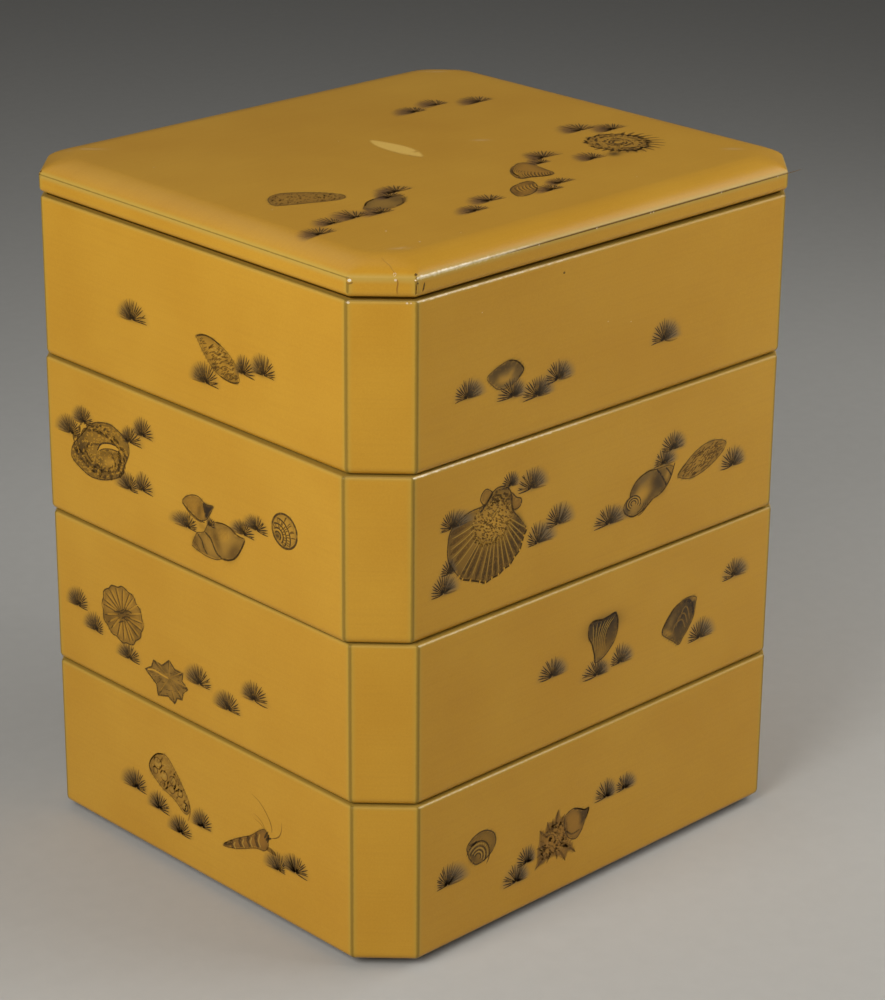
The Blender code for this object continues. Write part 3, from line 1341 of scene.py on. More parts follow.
    def tuft(self, u: float, v: float, left: float, right: float, top: float, side: float) -> None:
        """Paint a tuft of pine needles: a fan from one foot, smoky on one side.

        Args:
            u: where the needles meet.
            v: the base line.
            left: where the fan ends on the left.
            right: where it ends on the right.
            top: its top.
            side: the smoky side, -1 for the left and 1 for the right.
        """
        wide_left, wide_right, tall = u - left, right - u, top - v
        count = int(round(9 + 0.62 * (right - left)))
        angle = np.radians(np.linspace(-3.0, 183.0, count) + self.chance.normal(0.0, 1.8, count))
        wide = np.where(np.cos(angle) > 0.0, wide_right, wide_left)
        reach = 1.0 / np.sqrt((np.cos(angle) / wide) ** 2 + (np.sin(angle) / tall) ** 2)
        reach = reach * self.chance.uniform(0.92, 1.08, count) * (0.90 + 0.22 * np.abs(np.sin(angle)))
        way = unit(angle)
        smoky = np.clip(0.5 + 0.9 * side * way[:, 0], 0.0, 1.0)
        foot = np.array([u, v])
        left_more, right_more = (1.14, 1.04) if side < 0.0 else (1.04, 1.14)
        fan = (left_more * wide_left, right_more * wide_right)
        fan = fan if self.mirror > 0.0 else fan[::-1]
        self.washes.append(FanSmoke(tuple(self.laid(foot)), *fan, 1.05 * tall, side * self.mirror,
                                    self.smoke, 0.84 * self.smoke_depth, 0.40 * self.smoke_depth))
        self.blot((u + 0.05 * side * wide_left, v + 0.34 * tall), (0.24 * (right - left), 0.40 * tall),
                  0.0, SOOT if self.needle is SOOT else self.smoke, 0.48 * self.smoke_depth)
        bend = self.chance.normal(0.0, 0.025, count)[:, None, None]
        path = bent_paths(foot + way * (0.06 * reach)[:, None], foot + way * reach[:, None], bend, 6)
        self.ink(path, 0.68 + 0.10 * smoky, self.needle, NEEDLE,
                 0.95 - 0.20 * smoky, 0.95 - 0.60 * smoky)
        bare = smoky < 0.62
        middle = 0.5 * (path[:-1] + path[1:])[bare[1:] & bare[:-1]]
        self.ink(middle[:, 1:5], 0.16, OCHRE, DAB, 0.55, lift=0.012)


# The painted shells: each function draws one with a brush, where it lies on its face


def lens_shell(b: Brush) -> None:
    """A long mottled lens with a dark tip line."""
    rim = b.shell([(5.5, 33), (10, 34.2), (15, 34), (20, 32.5), (25, 30), (29, 26.5), (30.5, 23),
                   (30.7, 20.3), (27, 19.2), (22, 19.7), (17, 21), (13, 24), (9, 28), (6.5, 31.5)],
                  SHELL, 0.45, width=0.35, line_cover=0.7)
    b.line([(5.8, 32.8), (10, 34.2), (15, 34), (21, 32.1)], 0.7, UMBER)
    b.line([(19, 20.2), (24, 19.3), (28, 19.4), (30.7, 20.5)], 0.7, UMBER)
    b.mottle(rim, 100, 28.0, 2.6, 0.5, BROWN, 0.8)
    b.mottle(rim, 22, 28.0, 1.8, 0.4, SCRAPED, 0.6)
    for place, half in (((16, 23), (2.2, 1.4)), ((23, 26.3), (2.0, 0.6)), ((28.5, 22), (1.4, 1.0))):
        b.blot(place, half, 0.0, UMBER, 0.8)


def turban(b: Brush) -> None:
    """A large turban shell: dark mottled whorls round a plain crescent."""
    rim = b.shell([(-76, 30), (-74, 34), (-70, 38), (-66, 42), (-63, 45), (-58, 47.5), (-50, 49),
                   (-45, 48), (-40, 46), (-38, 44), (-37.2, 41), (-38.5, 37.5), (-41, 33),
                   (-42, 30), (-46, 27), (-52, 24.5), (-58, 23), (-64, 22.7), (-70, 24.5),
                   (-75, 27)], BROWN, 0.62, width=0.6)
    middle = (-57.0, 35.6)
    b.mottle(rim, 260, 28.0, 1.7, 0.8, OCHRE, 0.5, 1.0)
    b.ring(middle, (17.0, 10.4), 44, 2.8, 1.3, UMBER, 0.75, 24.0)
    b.ring(middle, (13.8, 8.4), 40, 3.0, 1.3, UMBER, 0.75, 12.0)
    b.ring((-56.5, 33.4), (9.6, 4.6), 26, 2.4, 1.0, UMBER, 0.7, 20.0)
    for place, half, turn in (((-69, 33), (2.6, 5.0), -20.0), ((-60, 27.4), (8.0, 1.8), -4.0),
                              ((-44, 33), (2.0, 2.8), 10.0), ((-57, 31.4), (5.0, 1.5), 8.0)):
        b.blot(place, half, turn, UMBER, 0.7)
    b.blots((-50.5, 32.4, 4.8, 1.6, 12.0, OCHRE, 0.6), (-69.5, 33.5, 3.4, 6.4, -18.0, UMBER, 0.45))
    b.wash([(-58, 35.6), (-55, 38.4), (-50, 39.9), (-45.4, 40.0), (-49, 38.5), (-53.4, 37.2)], 40,
           OCHRE, 1.0, 0.8)
    b.line([(-57.8, 35.4), (-55.2, 37.8), (-51.2, 39.3), (-47.0, 39.8), (-44.0, 39.4)], 1.7,
           OCHRE, 1.0, form=DAB, lift=0.02)
    b.line([(-58.4, 35.4), (-55.8, 38.8), (-51, 40.6), (-45, 41.0)], 0.7, SOOT, lift=0.03)
    b.line([(-57.2, 35.6), (-53.6, 37.4), (-49.0, 38.5), (-44.6, 38.7)], 0.5, UMBER, 0.8,
           lift=0.03)
    start = np.linspace((-56.0, 36.0), (-45.0, 38.2), 14)
    b.spread(start, start + (-0.6, -2.6), 0.35, UMBER, 0.8, 0.3, lift=0.02)


def small_whelk(b: Brush) -> None:
    """A small whelk with a near-black spire."""
    b.shell([(-4, 29.5), (-2, 32), (2, 34), (6, 34.5), (9, 33.2), (11, 32.5), (15, 33), (13.5, 30),
             (11, 26.5), (8, 25), (5, 25), (1, 26.5), (-2, 28)], ROSE, 0.45, width=0.45)
    b.wash([(9, 33), (12, 32.5), (15.3, 33.2), (13.4, 30), (11, 26.4), (9.6, 28.5)], 30, SOOT,
           0.97, 1.0)
    b.line([(-4.2, 29.3), (-2, 27.6), (1, 26), (5, 24.7), (10, 24.6)], 0.55, UMBER)
    b.line([(-3, 28.4), (-0.5, 26.2), (3, 24.6), (8, 24)], 0.35, BROWN, 0.8)
    b.line([(9.2, 32.8), (9.6, 30), (10.8, 27)], 0.7, SOOT)
    b.blots((6.6, 28.6, 1.8, 3.4, -20.0, BROWN, 0.7), (8.0, 22.6, 3.2, 1.8, -10.0, BROWN, 0.4))
    start = np.linspace((-2.0, 30.5), (7.0, 33.4), 12)
    b.spread(start, start + (1.6, -3.6), 0.26, BROWN, 0.6, 0.2)


def large_whelk(b: Brush) -> None:
    """A large whelk on its side, in soft greenish brown with two whorl lines."""
    b.shell([(1.5, 13), (3, 16), (5, 19), (9, 20.5), (12, 25), (16, 26.7), (21, 27.5), (26, 27),
             (30, 25), (34, 25), (31.5, 20), (28, 15.5), (24, 13.2), (20, 12.5), (16, 11),
             (10, 10.7), (5, 11.5), (2, 12.3)], OLIVE, 0.62, width=0.45, line_cover=0.8)
    b.line([(34, 24.8), (31.5, 20), (28, 15.5), (24, 13.2), (20, 12.5)], 0.8, UMBER)
    b.line([(16, 26.7), (21, 27.5), (25, 27.1), (28, 25.6), (33.5, 24.9)], 0.6, BROWN)
    b.line([(9.5, 20.8), (13, 19), (15, 16), (17, 13.7), (20, 12.6)], 0.9, UMBER)
    b.line([(5, 18.6), (7.5, 16.5), (9, 13.5), (11, 11.6)], 0.8, UMBER, 0.9)
    b.line([(2.4, 14.6), (4.6, 13.6), (6.4, 11.6)], 0.4, BROWN, 0.8)
    b.blots((3.8, 14.5, 2.0, 2.6, 0.0, BROWN, 0.75), (8.5, 14.6, 1.5, 3.6, 30.0, BROWN, 0.7),
            (16.6, 19.4, 2.2, 5.4, 25.0, BROWN, 0.75), (27.0, 17.6, 2.6, 5.4, -40.0, BROWN, 0.75),
            (22.0, 22.6, 3.4, 2.0, 30.0, OCHRE, 0.6))
    for low in (0.0, 2.6):
        start = np.linspace((11.0, 22.5), (23.0, 27.0), 17) - (0.0, low)
        b.spread(start, start + (0.6, -2.8), 0.26, BROWN, 0.7, 0.2)


def spiral_shell(b: Brush) -> None:
    """A round shell seen from its spire: nested whorls with short ribs."""
    turn = np.radians(np.arange(0.0, 360.0, 30.0))
    b.shell(list(zip(57.5 + 7.2 * np.cos(turn), 35.7 + 6.9 * np.sin(turn))), OLIVE, 0.2,
            SOOT, 0.9)
    core = (53.5, 32.7)
    for radius, first, last in ((1.7, -60.0, 150.0), (3.2, -50.0, 132.0), (5.0, -42.0, 118.0),
                                (7.3, -22.0, 94.0)):
        b.arcs(core, [radius], first, last, 0.72, SOOT, 0.9)
    b.blot(core, (1.6, 1.4), 0.0, SOOT, 0.97)
    for inner, outer, low, high, count in ((3.5, 4.8, -44.0, 118.0, 11), (5.4, 7.0, -24.0, 92.0, 12),
                                           (7.8, 10.4, 12.0, 62.0, 7)):
        angle = np.radians(np.linspace(low, high, count) + b.chance.normal(0.0, 2.0, count))
        way = unit(angle)
        b.spread(core + way * inner, core + way * outer, 0.5, UMBER, 0.85, 0.6, bend=0.08)


def limpet(b: Brush) -> None:
    """A limpet from above: a scalloped disc with ribs from a dark crown."""
    turn = np.radians(np.arange(0.0, 360.0, 10.0))
    ragged = 1.0 + 0.036 * np.cos(12.0 * turn + 0.6) + 0.02 * np.cos(5.0 * turn)
    middle = np.array([-47.3, 34.5])
    rim = middle + unit(turn) * (13.3, 12.3) * ragged[:, None]
    b.shell(rim.tolist(), SHELL, 0.62, UMBER, 0.6)
    ribs = np.linspace(0.0, 360.0, 20, endpoint=False) + b.chance.normal(0.0, 3.5, 20)
    way = unit(np.radians(ribs)) * (13.0, 12.0)
    b.spread(middle + way * 0.2, middle + way * 0.96, 0.9, UMBER, 0.6, 0.8, NEEDLE)
    b.spread(middle + way * 0.3 + (0.7, 0.4), middle + way * 0.92 + (1.2, 0.7), 0.8, OCHRE,
             0.2, 0.6, lift=0.008)
    b.blot((-47.5, 34.6), (3.6, 3.0), 20.0, UMBER, 0.55)
    for place, half in (((-55.5, 30.0), (4.5, 3.0)), ((-43.0, 36.0), (4.4, 2.2)),
                        ((-50.0, 34.0), (4.0, 2.0)), ((-39.5, 30.5), (3.0, 4.0))):
        b.blot(place, half, 12.0, BROWN, 0.7)
    for knots in ([(-53, 34), (-49, 35.4), (-46, 37.4)], [(-50, 34.2), (-47, 35.5), (-44.5, 37.8)],
                  [(-47.5, 33.6), (-45, 33), (-43, 33.2)], [(-50, 30), (-48, 31.2), (-46.5, 31.8)],
                  [(-46, 36.6), (-43, 37.5), (-40.8, 37.2)], [(-48, 32.4), (-45, 34.4), (-42, 35)]):
        b.line(knots, 0.75, UMBER, 0.85, form=DAB, lift=0.012)


def star_shell(b: Brush) -> None:
    """A star-shaped shell with eight hooked tips."""
    rim = [(-33.3, 15), (-29.3, 17.4), (-27.6, 20.7), (-22.3, 20.3), (-17.5, 24), (-13.8, 21.3),
           (-9, 21), (-9.3, 17.6), (-6, 15), (-8.8, 12.2), (-9.8, 9.2), (-12.8, 8.6), (-14.6, 5.8),
           (-18.7, 7.5), (-25.2, 6.0), (-26.2, 10.4), (-30, 12.8)]
    middle = np.array([-18.2, 15.3])
    valleys = [1, 3, 5, 7, 9, 11, 13, 15, 16]
    bent = np.array(rim)
    bent[valleys] = middle + (bent[valleys] - middle) * 0.97
    rim = bent.tolist()
    b.shell(rim, OLIVE, 0.7, UMBER, 0.75, smooth=False)
    tips = bent[[0, 2, 4, 6, 8, 10, 12, 14]]
    b.spread(middle + (tips - middle) * 0.5, middle + (tips - middle) * 0.97, 1.1, UMBER,
             0.2, 0.9, NEEDLE)
    b.spread(np.repeat(middle[None] + (0.5, 0.9), 8, axis=0), middle + (tips - middle) * 0.9
             + (0.4, 1.0), 0.4, OCHRE, 0.1, 0.45, lift=0.008)
    b.line([(-31.8, 15.2), (-27.5, 16.4), (-22.5, 16.0), (-18.2, 15.8)], 0.7, OCHRE, 0.9,
           lift=0.01)
    for place in ((-24, 13.6), (-15, 18.6), (-13, 13.5), (-21, 11), (-21, 18.4), (-17.6, 14.9)):
        b.blot(place, (2.6, 1.4), 15.0, UMBER, 0.6)
    b.mottle(np.array(rim + rim[:1]), 40, 20.0, 2.0, 0.4, BROWN, 0.7)


def club_shell(b: Brush) -> None:
    """A club-shaped shell that tapers to a small open end."""
    rim = b.shell([(-33, 39), (-31.5, 42.5), (-28, 46), (-23.5, 47.6), (-20, 46.5), (-15, 41.5),
                   (-11, 36.5), (-8, 32), (-7, 28.5), (-9, 25.5), (-12, 25.8), (-15, 28),
                   (-19, 30), (-24, 31.3), (-28, 33.5), (-32, 36.5)], SHELL, 0.55,
                  width=0.45, line_cover=0.7)
    b.line([(-31.5, 36.3), (-33, 39), (-31.5, 42.5), (-28, 46), (-23.5, 47.6)], 0.7, UMBER, 0.75)
    b.mottle(rim, 40, 55.0, 3.2, 0.8, BROWN, 0.45)
    b.mottle(rim, 22, 10.0, 2.6, 0.5, SCRAPED, 0.45)
    for place, reach in (((-27.5, 42.0), 2.6), ((-23.5, 37.6), 2.3), ((-17.8, 37.4), 2.1),
                         ((-18.6, 33.2), 1.8), ((-13.4, 33.4), 1.8), ((-29.2, 38.2), 1.6)):
        b.arcs(place, [reach], -160.0, 170.0, 0.5, BROWN, 0.75)
        b.blot(place, (0.6 * reach, 0.5 * reach), 40.0, SCRAPED, 0.6)
    b.blots((-30.6, 37.2, 2.2, 2.0, 40.0, BROWN, 0.5), (-19.5, 37.0, 2.2, 5.0, 20.0, BROWN, 0.45),
            (-14.0, 38.0, 2.0, 3.0, 20.0, BROWN, 0.35), (-10.6, 28.6, 0.8, 0.8, 0.0, SCRAPED, 0.8))
    b.arcs((-10.3, 28.3), [1.9], -150.0, 120.0, 0.8, UMBER, 0.85)
    b.line([(-8, 31), (-7, 28), (-7.6, 25), (-8.6, 22.5)], 0.8, BROWN, 0.8, 0.3)


def auger(b: Brush) -> None:
    """A slender auger shell whose dweller puts out its feelers."""
    b.shell([(14, 21), (20, 25.3), (26, 28.8), (31, 31.5), (36, 35.5), (40, 37.5), (42, 33),
             (40, 28.3), (34, 27), (28, 24.5), (22, 22), (15, 20.3)], ROSE, 0.82, BROWN,
            0.45)
    for u, v, tall in ((19.6, 24.6, 3.0), (25.0, 27.9, 3.9), (30.0, 30.8, 4.8), (35.0, 34.2, 6.4)):
        b.line([(u, v), (u - 0.9, v - 0.5 * tall), (u + 0.5, v - tall)], 1.7, SOOT, 0.72)
        b.line([(u + 1.7, v + 0.2), (u + 0.9, v - 0.5 * tall), (u + 2.1, v - 0.9 * tall)], 0.7,
               SCRAPED, 0.6, lift=0.01)
    b.line([(14, 20.8), (16, 21.8), (18.5, 22.8)], 1.6, UMBER, 0.8, form=DAB)
    for knots in ([(39.3, 33.5), (40.6, 35.6), (41.8, 37.5)], [(41.2, 32.2), (42, 34.2), (43.8, 35.2)],
                  [(40.2, 32.8), (41.6, 34.8), (42.3, 36.4)]):
        b.line(knots, 1.1, UMBER, 0.95, form=DAB)
    feelers = (([(44, 38), (43.9, 40), (42.6, 43), (39.5, 46.6), (36, 49.2), (32, 50.6)], 0.75, 0.3),
               ([(44, 35.3), (46.5, 36.4), (48.6, 38.2), (49.8, 41), (50, 44.6)], 0.9, 0.4),
               ([(40, 38), (38, 40.2), (35.6, 41.6), (33, 42.4)], 0.5, 0.15),
               ([(39.6, 37.8), (36.6, 39.4), (33, 40.2)], 0.4, 0.1))
    for knots, first, last in feelers:
        b.line(knots, 0.55, BROWN, first, last, NEEDLE)
    b.line([(40.5, 29), (43, 29.6), (46.5, 28.6)], 2.2, BROWN, 0.7, form=DAB)


def clam(b: Brush) -> None:
    """A plump clam, smoky above and open ochre in its middle."""
    b.shell([(-66, 29.5), (-63, 31.6), (-58, 33.4), (-54, 33.9), (-50, 32.5), (-47.3, 30),
             (-46.7, 28.2), (-49, 26), (-52, 24.3), (-56, 23.3), (-60, 23.8), (-63, 26)],
            SMOKE, 0.78, UMBER, 0.5, line_cover=0.7)
    b.blots((-57.2, 26.9, 4.4, 1.7, -8.0, OCHRE, 0.72), (-53.6, 28.6, 3.0, 1.0, 40.0, OCHRE, 0.5),
            (-62.0, 28.8, 2.0, 2.4, 20.0, UMBER, 0.5), (-57.5, 31.6, 6.0, 1.7, 8.0, UMBER, 0.7),
            (-50.0, 30.2, 2.2, 2.0, -30.0, UMBER, 0.5))
    b.line([(-55, 34), (-51, 33), (-48, 30.6), (-46.8, 28.4), (-49.5, 26)], 0.6, SOOT, 0.8)


def scallop(b: Brush) -> None:
    """A great scallop: ribs that fan out from a stippled crown, with an ear on each side."""
    edge = [(-78, 21.2), (-76.2, 19.6), (-72, 18), (-67, 16), (-64, 14.7), (-60.6, 15.6),
            (-57, 16), (-54, 17.6), (-51, 18.3), (-48.6, 20.8), (-45.8, 23), (-44.6, 26),
            (-43.6, 28.4), (-42.3, 31)]
    side = [(-46, 36), (-50, 41), (-50.6, 47), (-53, 50.8), (-57.5, 52), (-61, 50.6), (-65, 46.8),
            (-73, 46), (-80, 43), (-83, 40), (-84, 34), (-83.5, 29), (-81, 25)]
    b.shell(edge + side, BROWN, 0.66, UMBER, 0.6)
    hub = np.array([-58.5, 43.0])
    lobes = smooth_path(edge, 14)
    rim = 0.5 * (lobes[1:] + lobes[:-1])
    b.line(edge, 0.8, UMBER, 0.8)
    b.spread(hub + (rim - hub) * 0.44, hub + (rim - hub) * 0.98, 2.6, BROWN, 0.1, 0.85)
    b.spread(hub + (rim - hub) * 0.50, hub + (rim - hub) * 0.97, 1.3, UMBER, 0.5, 0.9,
             DAB, lift=0.008)
    b.spread(hub + (lobes - hub) * 0.97, hub + (lobes - hub) * 1.03, 0.8, OCHRE, 0.9, 0.9,
             DAB, lift=0.024)
    b.spread(hub + (lobes - hub) * 0.45, hub + (lobes - hub) * 0.96, 0.46, SCRAPED, 0.7, 0.5,
             lift=0.016)
    west = np.array([(-83.3, 37.5), (-83.6, 33), (-83.2, 29), (-81, 25)])
    b.spread(hub + (west - hub) * 0.5 + (0, 1.6), hub + (west - hub) * 0.97 + (0, 2.0), 2.0,
             BROWN, 0.3, 0.8)
    b.spread(hub + (west - hub) * 0.45, hub + (west - hub) * 0.95, 0.46, SCRAPED, 0.8, 0.6,
             bend=0.03, lift=0.016)
    b.blots((-60.5, 38.5, 11.0, 8.0, -12.0, OCHRE, 0.9), (-48.5, 31.5, 2.4, 6.0, -14.0, UMBER, 0.6),
            (-79.5, 40.0, 4.0, 2.4, 20.0, UMBER, 0.5))
    turn = np.radians(np.arange(0.0, 361.0, 20.0))
    crown = unit(turn) * (11.5, 10.0) + (-60.5, 38.4)
    b.mottle(crown, 280, -28.0, 1.35, 0.55, BROWN, 0.75, 0.2)
    b.mottle(crown, 40, 30.0, 1.6, 0.5, UMBER, 0.7, 0.2)
    b.mottle(crown, 110, 48.0, 1.1, 0.5, SCRAPED, 0.7, 0.2)
    hinge = np.array([(-62, 49), (-58, 51.6), (-52, 50.5), (-50.8, 45), (-55, 44.5), (-61, 46.5)])
    b.mottle(np.concatenate([hinge, hinge[:1]]), 40, -20.0, 1.8, 0.7, UMBER, 0.7, 0.2)
    b.shell([(-65, 46.8), (-67, 49), (-66.4, 51.6), (-64, 53), (-61.2, 51.2), (-61, 50.2),
             (-63.4, 48.2)], ROSE, 0.5, UMBER, 0.5)
    b.shell([(-51, 48), (-48, 45.4), (-45.6, 44.3), (-45.5, 42), (-47.5, 40.6), (-50, 41.6)],
            ROSE, 0.6, UMBER, 0.6)
    b.line([(-61, 50.4), (-63.5, 47.6), (-67.5, 44)], 1.0, SOOT, 0.9)
    b.blot((-46.6, 35.5), (1.6, 5.0), 38.0, UMBER, 0.7)


def moon_snail(b: Brush) -> None:
    """A moon snail: a smoky round body over a small coiled spire."""
    b.shell([(12, 24), (14, 27), (15.6, 27.4), (16.4, 30), (20, 34.2), (26, 36.3), (31, 35.9),
             (38, 35.8), (40.6, 34), (39.3, 30.5), (36.5, 27), (33, 24.6), (29, 23.6), (24, 20.5),
             (18, 19), (14, 21)], OLIVE, 0.62, UMBER, 0.5, line_cover=0.8)
    b.blots((31.5, 31.0, 4.6, 5.8, -32.0, UMBER, 0.88), (23.5, 33.6, 4.4, 1.8, 24.0, SMOKE, 0.7),
            (18.2, 30.2, 1.8, 3.6, -36.0, UMBER, 0.65), (26.6, 24.6, 5.0, 1.5, 34.0, UMBER, 0.65),
            (33.8, 28.0, 2.2, 3.4, 32.0, SOOT, 0.6), (22.4, 27.0, 4.4, 2.6, 20.0, OCHRE, 0.8),
            (37.6, 32.0, 1.0, 2.0, -20.0, OCHRE, 0.5))
    b.line([(15.6, 27.6), (16.6, 31), (20, 34.4), (26, 36.3), (31, 35.9)], 0.55, UMBER, 0.9)
    b.line([(31, 35.8), (34, 32.2), (36.3, 28.6), (37, 27)], 0.8, SOOT)
    b.line([(36.3, 35.2), (38.4, 33), (39.6, 31)], 0.7, SOOT)
    b.line([(33, 24.5), (36.6, 26.8), (39.4, 30.4), (40.8, 34), (41.6, 36)], 0.7, UMBER)
    core = (17.8, 24.8)
    b.arcs(core, [1.5, 2.8, 4.2], -30.0, 250.0, 0.6, SOOT, 0.9, 0.75, -8.0)
    b.arcs(core, [2.1, 3.5], -30.0, 240.0, 0.35, SCRAPED, 0.7, 0.75, -8.0)
    b.arcs((18.6, 24.0), [5.4, 6.6, 7.8], -75.0, -8.0, 0.45, UMBER, 0.8, 0.72)
    b.line([(12, 24), (13.4, 21.4), (18, 19.2), (24, 20.6), (29, 23.6)], 0.6, UMBER, 0.9)
    b.blot((14.0, 22.6), (1.5, 2.6), 30.0, SOOT, 0.7)


def long_oval(b: Brush) -> None:
    """A long oval shell with scribbled markings."""
    rim = b.shell([(43.5, 29.7), (47, 33), (52, 36.5), (58, 39), (64, 39.6), (70, 38.3),
                   (72.3, 36.5), (70.5, 33.5), (66, 30.5), (60, 28), (54, 26.7), (49, 27),
                   (45, 28.5)], SHELL, 0.5, UMBER, 0.45, line_cover=0.8)
    b.mottle(rim, 110, 24.0, 2.6, 0.5, BROWN, 0.8)
    b.mottle(rim, 30, -12.0, 2.0, 0.4, UMBER, 0.7)
    b.line([(43.5, 29.7), (45.5, 31.8), (48.5, 34)], 0.8, UMBER, 0.7)


def half_fan(b: Brush) -> None:
    """An upright half fan, near black at its rim, with curved growth lines down to the hinge."""
    b.shell([(-8.2, 45), (-7.5, 47), (-5, 47.8), (0, 47), (4, 47.4), (7, 48), (8.6, 45), (8.8, 41),
             (7.6, 36.5), (5, 33.5), (2, 31), (-1, 29.7), (-4, 29.5), (-4.5, 33), (-6, 38),
             (-8, 41.5)], SOOT, 0.92, UMBER, 0.6, fade=0.62)
    b.blots((0.5, 44.4, 9.5, 4.4, 0.0, SOOT, 0.8), (4.6, 39.0, 3.0, 4.6, -22.0, UMBER, 0.6))
    b.line([(-7.6, 46.4), (-5, 47.7), (0, 47), (4, 47.4), (7.2, 47.8), (8.6, 45), (8.8, 41)], 1.0,
           SOOT, 0.9)
    b.line([(-8.2, 45), (-7.9, 41.5), (-6, 38), (-4.6, 33.4), (-3.8, 29.6)], 0.7, UMBER, 0.9)
    for u, foot, bend in ((-5.6, -4.0, -0.03), (-3.2, -3.4, -0.05), (-0.8, -2.6, -0.08),
                          (1.4, -1.6, -0.11), (3.4, -0.4, -0.15), (5.2, 0.8, -0.18),
                          (6.8, 2.0, -0.2)):
        b.spread([(u, 46.4)], [(foot, 33.0)], 0.4, SCRAPED, 0.85, 0.15, bend=bend, lift=0.01)
        b.spread([(u + 1.0, 46.6)], [(foot + 0.9, 33.5)], 0.9, SOOT, 0.85, 0.1, bend=bend)


def mussel(b: Brush) -> None:
    """A dark mussel with its point down."""
    b.shell([(36, 30.5), (38, 34), (42, 38), (46, 40), (50, 41.2), (54, 40.9), (56.5, 39.6),
             (56, 37), (55.2, 32), (52, 27), (49, 24), (46.5, 21.5), (43, 24), (38, 27.5),
             (36.3, 29)], SOOT, 0.82, UMBER, 0.5, line_cover=0.8)
    b.line([(36.1, 29.4), (36.6, 32), (42, 38), (46.5, 40.2)], 0.9, SOOT, 0.8)
    b.line([(48, 40), (51.5, 39.8), (54.2, 37), (54.8, 32.4)], 1.4, SOOT, 0.8)
    b.blots((47.5, 33.0, 3.4, 6.8, -32.0, SOOT, 0.75), (53, 37, 2.6, 2.2, -50.0, SOOT, 0.7),
            (39.5, 28.8, 3.6, 1.1, -30.0, OCHRE, 0.7), (41.0, 32.6, 1.6, 3.6, -34.0, OLIVE, 0.6),
            (54.6, 39.9, 1.8, 0.8, -10.0, OCHRE, 0.6))
    for share in (0.2, 0.55, 0.9):
        knots = [(41 + 6 * share, 25.5 + 8 * share), (42.5 + 7 * share, 29.5 + 8.4 * share),
                 (47 + 4.5 * share, 31 + 6.4 * share), (49.5 + 3.6 * share, 27 + 4.6 * share)]
        b.line(knots, 0.7, OLIVE, 0.75, lift=0.01)


def round_snail(b: Brush) -> None:
    """A round snail shell with coiled bands."""
    b.shell([(-75.5, 40.5), (-73, 43), (-69, 44.5), (-65, 44.3), (-61, 42), (-59.5, 38.5),
             (-60.5, 35), (-64, 32.2), (-68, 31), (-71, 31.5), (-74, 35), (-75, 38)], BROWN,
            0.58, UMBER, 0.6, line_cover=0.9)
    core = (-69.5, 34.0)
    b.arcs(core, [1.6, 3.0, 4.6, 6.6], -50.0, 150.0, 0.6, SOOT, 0.8, 1.05, 8.0)
    b.arcs(core, [2.3, 3.8, 5.6], -45.0, 140.0, 0.45, SCRAPED, 0.7, 1.05, 8.0)
    b.line([(-74.2, 41), (-72, 40.6), (-69.8, 41.4)], 1.4, SOOT, 0.85, form=DAB)
    b.blot((-72, 35.5), (2.2, 3.2), 0.0, UMBER, 0.6)
    start = np.linspace((-68.0, 42.8), (-61.5, 37.0), 7)
    b.spread(start, start + (-1.8, -3.0), 0.3, BROWN, 0.5, 0.2)


def murex(b: Brush) -> None:
    """A spiny murex that leans on a small whelk."""
    b.shell([(-36.4, 16.2), (-35.2, 19.5), (-35.4, 23), (-34.6, 27), (-34, 32.6), (-31.4, 30.6),
             (-29.8, 34.6), (-26.6, 33.6), (-23.8, 38), (-22.4, 34), (-19.6, 34), (-18.6, 29),
             (-18, 23), (-15.6, 20), (-13.6, 15.6), (-17.6, 17.4), (-19.4, 14.2), (-22.6, 17),
             (-27, 18.6), (-31, 17.6)], ROSE, 0.7, BROWN, 0.4, line_cover=0.35,
            smooth=False)
    tips = np.array([(-36.4, 16.2), (-35.8, 21), (-36, 25), (-34.4, 32.6), (-30, 35), (-26.8, 35.4),
                     (-23.6, 38.4), (-20, 35), (-16, 19), (-13.2, 15.4), (-19.2, 13.6),
                     (-24, 16), (-30, 16.4)])
    heart = np.array([-26.5, 25.0])
    b.spread(heart + (tips - heart) * 0.45, tips, 1.1, BROWN, 0.5, 0.7, NEEDLE, 0.05)
    inner = smooth_path([(-34, 19), (-33.6, 28), (-29, 32), (-21, 33), (-19, 26), (-17.5, 20),
                         (-25, 19)], 40, closed=True)
    b.mottle(inner, 110, -40.0, 2.0, 0.6, BROWN, 0.6, 0.3)
    b.mottle(inner, 30, 40.0, 1.6, 0.6, UMBER, 0.55, 0.3)
    b.mottle(inner, 16, -40.0, 1.6, 0.5, SCRAPED, 0.35, 0.3)
    for place, half, turn in (((-33, 24), (1.6, 4.0), 0.0), ((-28, 31), (3.0, 1.3), 15.0),
                              ((-33.5, 18), (2.4, 1.2), 10.0), ((-19.0, 19.5), (3.2, 0.9), -35.0)):
        b.blot(place, half, turn, UMBER, 0.45)
    b.shell([(-20, 33.5), (-15, 35.7), (-11, 34.2), (-8.4, 32.8), (-5.8, 32.6), (-8, 28),
             (-10, 24), (-13, 21.5), (-17, 23), (-19.4, 27)], ROSE, 0.62, UMBER, 0.45)
    b.wash([(-12, 34.4), (-8.6, 33), (-5.8, 32.7), (-8, 28), (-10.6, 27), (-11, 31)], 30, UMBER,
           0.85, 1.6)
    b.line([(-15, 35.6), (-11, 34.2), (-8.4, 32.8), (-5.8, 32.6), (-8, 28)], 0.7, SOOT, 0.8)
    b.line([(-19, 27), (-15.5, 24.4), (-11, 24.8)], 0.8, UMBER, 0.7)


